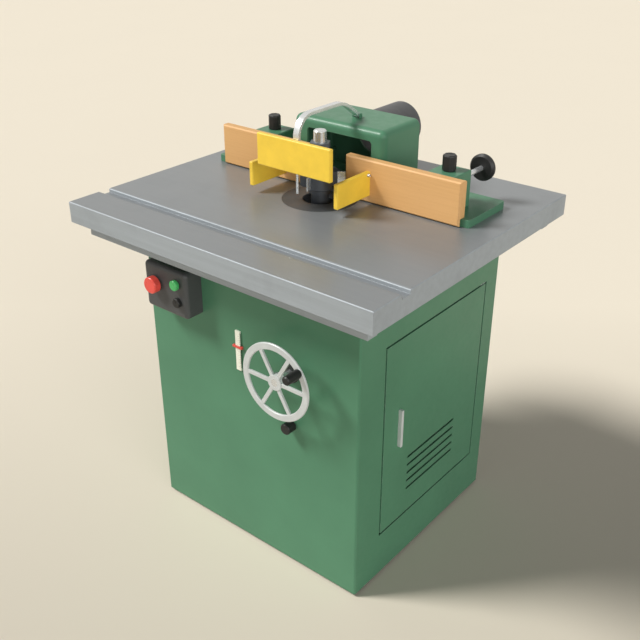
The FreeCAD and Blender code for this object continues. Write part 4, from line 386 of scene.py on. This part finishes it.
def add_louvres():
    """Pressed hood behind each slot of the door: it turns chips and light away from the drive."""
    low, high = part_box("door")
    skin = high.x - DOOR_SHEET
    profile = [(0.0, 9.0), (1.4, 8.4), (2.8, 6.2), (3.5, 1.8), (3.8, -7.0)]
    inner = [(0.0, 10.2), (1.9, 9.5), (3.8, 6.9), (4.6, 2.0), (4.9, -7.0)]
    for k in range(LOUVRE_COUNT):
        base = low.z + (LOUVRE_FIRST + LOUVRE_PITCH * k) * MM
        outline = [(skin - dx * MM, base + dz * MM) for dx, dz in profile + inner[::-1]]
        count = len(outline)
        points = [(x, y, z) for y in (LOUVRE_FRONT, LOUVRE_BACK) for x, z in outline]
        faces = [(i, (i + 1) % count, (i + 1) % count + count, i + count) for i in range(count)]
        faces += [tuple(range(count)), tuple(range(count, 2 * count))]
        for y in (LOUVRE_FRONT, LOUVRE_BACK):
            start = len(points)
            rim = [(skin, 9.0)] + [(skin - dx * MM, dz) for dx, dz in profile[1:]] + [(skin, -7.0)]
            thick = LOUVRE_END if y > 0 else -LOUVRE_END
            points += [(x, y + shift, base + z * MM) for shift in (0.0, thick) for x, z in rim]
            n = len(rim)
            faces += [tuple(range(start, start + n)), tuple(range(start + n, start + 2 * n))]
            faces += [(start + i, start + (i + 1) % n, start + (i + 1) % n + n, start + i + n)
                      for i in range(n)]
        add_piece(f"door_louvre_hood_{k + 1}", points, faces, "side_door", "green_paint")


SCREW_INSET = 7 * MM


def add_fin_screw():
    """Cap screw with a washer that holds the right side guard to its board's cleat."""
    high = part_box("right_side_guard")[1]
    y, z = high.y - SCREW_INSET, high.z - SCREW_INSET
    rings = [(2.0, -2.0), (2.0, 0.0), (4.2, 0.0), (4.4, 0.3), (4.4, 1.0), (4.1, 1.2), (3.1, 1.2),
             (3.1, 4.2), (2.7, 4.8), (1.6, 4.8), (1.5, 3.0)]
    points, faces = lathe([(r * MM, h * MM) for r, h in rings],
                          lambda a, b, h: (high.x + h, y + a, z + b), 24)
    add_piece("side_guard_screw", points, faces, "right_fence", "bright_steel")


add_clamp_knob("left")
add_clamp_knob("right")
add_louvres()
add_fin_screw()


# ------------------------------------------------------------ camera, light
CAMERA_PLACE = (1.2315, -1.5122, 1.5750)
CAMERA_TILT, CAMERA_TURN = math.radians(61.789), math.radians(39.1625)
CAMERA_LENS = 50.0  # mm, on a sensor 36 mm wide
FLOOR_DROP = 0.2 * MM
FLOOR_AWAY = (-0.63, 0.775, 0.0)  # level, away from the camera


def add_camera():
    data = bpy.data.cameras.new("camera")
    data.lens = CAMERA_LENS
    data.sensor_width = 36.0
    camera = bpy.data.objects.new("camera", data)
    camera.location = CAMERA_PLACE
    camera.rotation_euler = (CAMERA_TILT, 0.0, CAMERA_TURN)
    bpy.context.scene.collection.objects.link(camera)
    bpy.context.scene.camera = camera


def add_sun(name, strength, towards, angle, colour):
    data = bpy.data.lights.new(name, "SUN")
    data.energy = strength
    data.angle = math.radians(angle)
    data.color = colour
    sun = bpy.data.objects.new(name, data)
    sun.rotation_euler = Vector(towards).to_track_quat("-Z", "Y").to_euler()
    bpy.context.scene.collection.objects.link(sun)


def add_world(strength, colour, seen, seen_colour):
    """Soft sky; the camera and glossy surfaces see a paler backdrop than the one that lights the part."""
    world = bpy.data.worlds.new("studio")
    bpy.context.scene.world = world
    world.use_nodes = True
    tree = world.node_tree
    tree.nodes.clear()
    skies = []
    for level, tint in ((strength, colour), (seen, seen_colour)):
        sky = tree.nodes.new("ShaderNodeBackground")
        sky.inputs["Color"].default_value = (*tint, 1.0)
        sky.inputs["Strength"].default_value = level
        skies.append(sky.outputs["Background"])
    path = tree.nodes.new("ShaderNodeLightPath")
    share = path.outputs["Is Camera Ray"]
    for ray in ("Is Glossy Ray", "Is Transmission Ray"):
        either = tree.nodes.new("ShaderNodeMath")
        either.operation = "MAXIMUM"
        tree.links.new(share, either.inputs[0])
        tree.links.new(path.outputs[ray], either.inputs[1])
        share = either.outputs["Value"]
    blend = tree.nodes.new("ShaderNodeMixShader")
    tree.links.new(share, blend.inputs["Fac"])
    tree.links.new(skies[0], blend.inputs[1])
    tree.links.new(skies[1], blend.inputs[2])
    output = tree.nodes.new("ShaderNodeOutputWorld")
    tree.links.new(blend.outputs["Shader"], output.inputs["Surface"])


def add_floor(reach, colour):
    """Paper sweep, painted a little darker towards the front as a stand-in for light falling off."""
    look = Look("paper_floor_with_painted_falloff", specular=0.1, edge=0)
    along = look.node("ShaderNodeVectorMath", operation="DOT_PRODUCT")
    look.feed(along.inputs[0], look.place)
    along.inputs[1].default_value = FLOOR_AWAY
    # painted shade: the floor colour darkens towards the front for light falling off, not a change in the
    # paper
    depth = look.span(along.outputs["Value"], -0.9, 1.1, 0.0, 1.0)
    tone = look.ramp(depth, (0.0, shade(colour, 0.70)), (1.0, colour))
    tone = look.mix(look.span(look.noise(1.5, 3.0), 0.3, 0.7, 0.0, 0.02), tone, shade(colour, 0.7))
    look.bump(look.noise(300.0, 2.0), 0.02, 0.05)
    mesh = bpy.data.meshes.new("floor")
    corners = [(-reach, -reach), (reach, -reach), (reach, reach), (-reach, reach)]
    mesh.from_pydata([(x, y, -FLOOR_DROP) for x, y in corners], [], [(0, 1, 2, 3)])
    mesh.materials.append(look.done(tone, 0.9))
    floor = bpy.data.objects.new("floor", mesh)
    bpy.context.scene.collection.objects.link(floor)


add_camera()
add_world(0.143, (0.96, 0.98, 1.0), 0.85, (1.0, 0.97, 0.91))
add_sun("key", 3.28, (0.557, 0.435, -0.707), 16.0, (1.0, 0.99, 0.97))
add_sun("fill", 2.8, (-0.89, 0.45, -0.03), 66.0, (0.99, 0.995, 1.0))
add_floor(40.0, (0.885, 0.805, 0.665))
bpy.context.scene.view_settings.view_transform = "Standard"
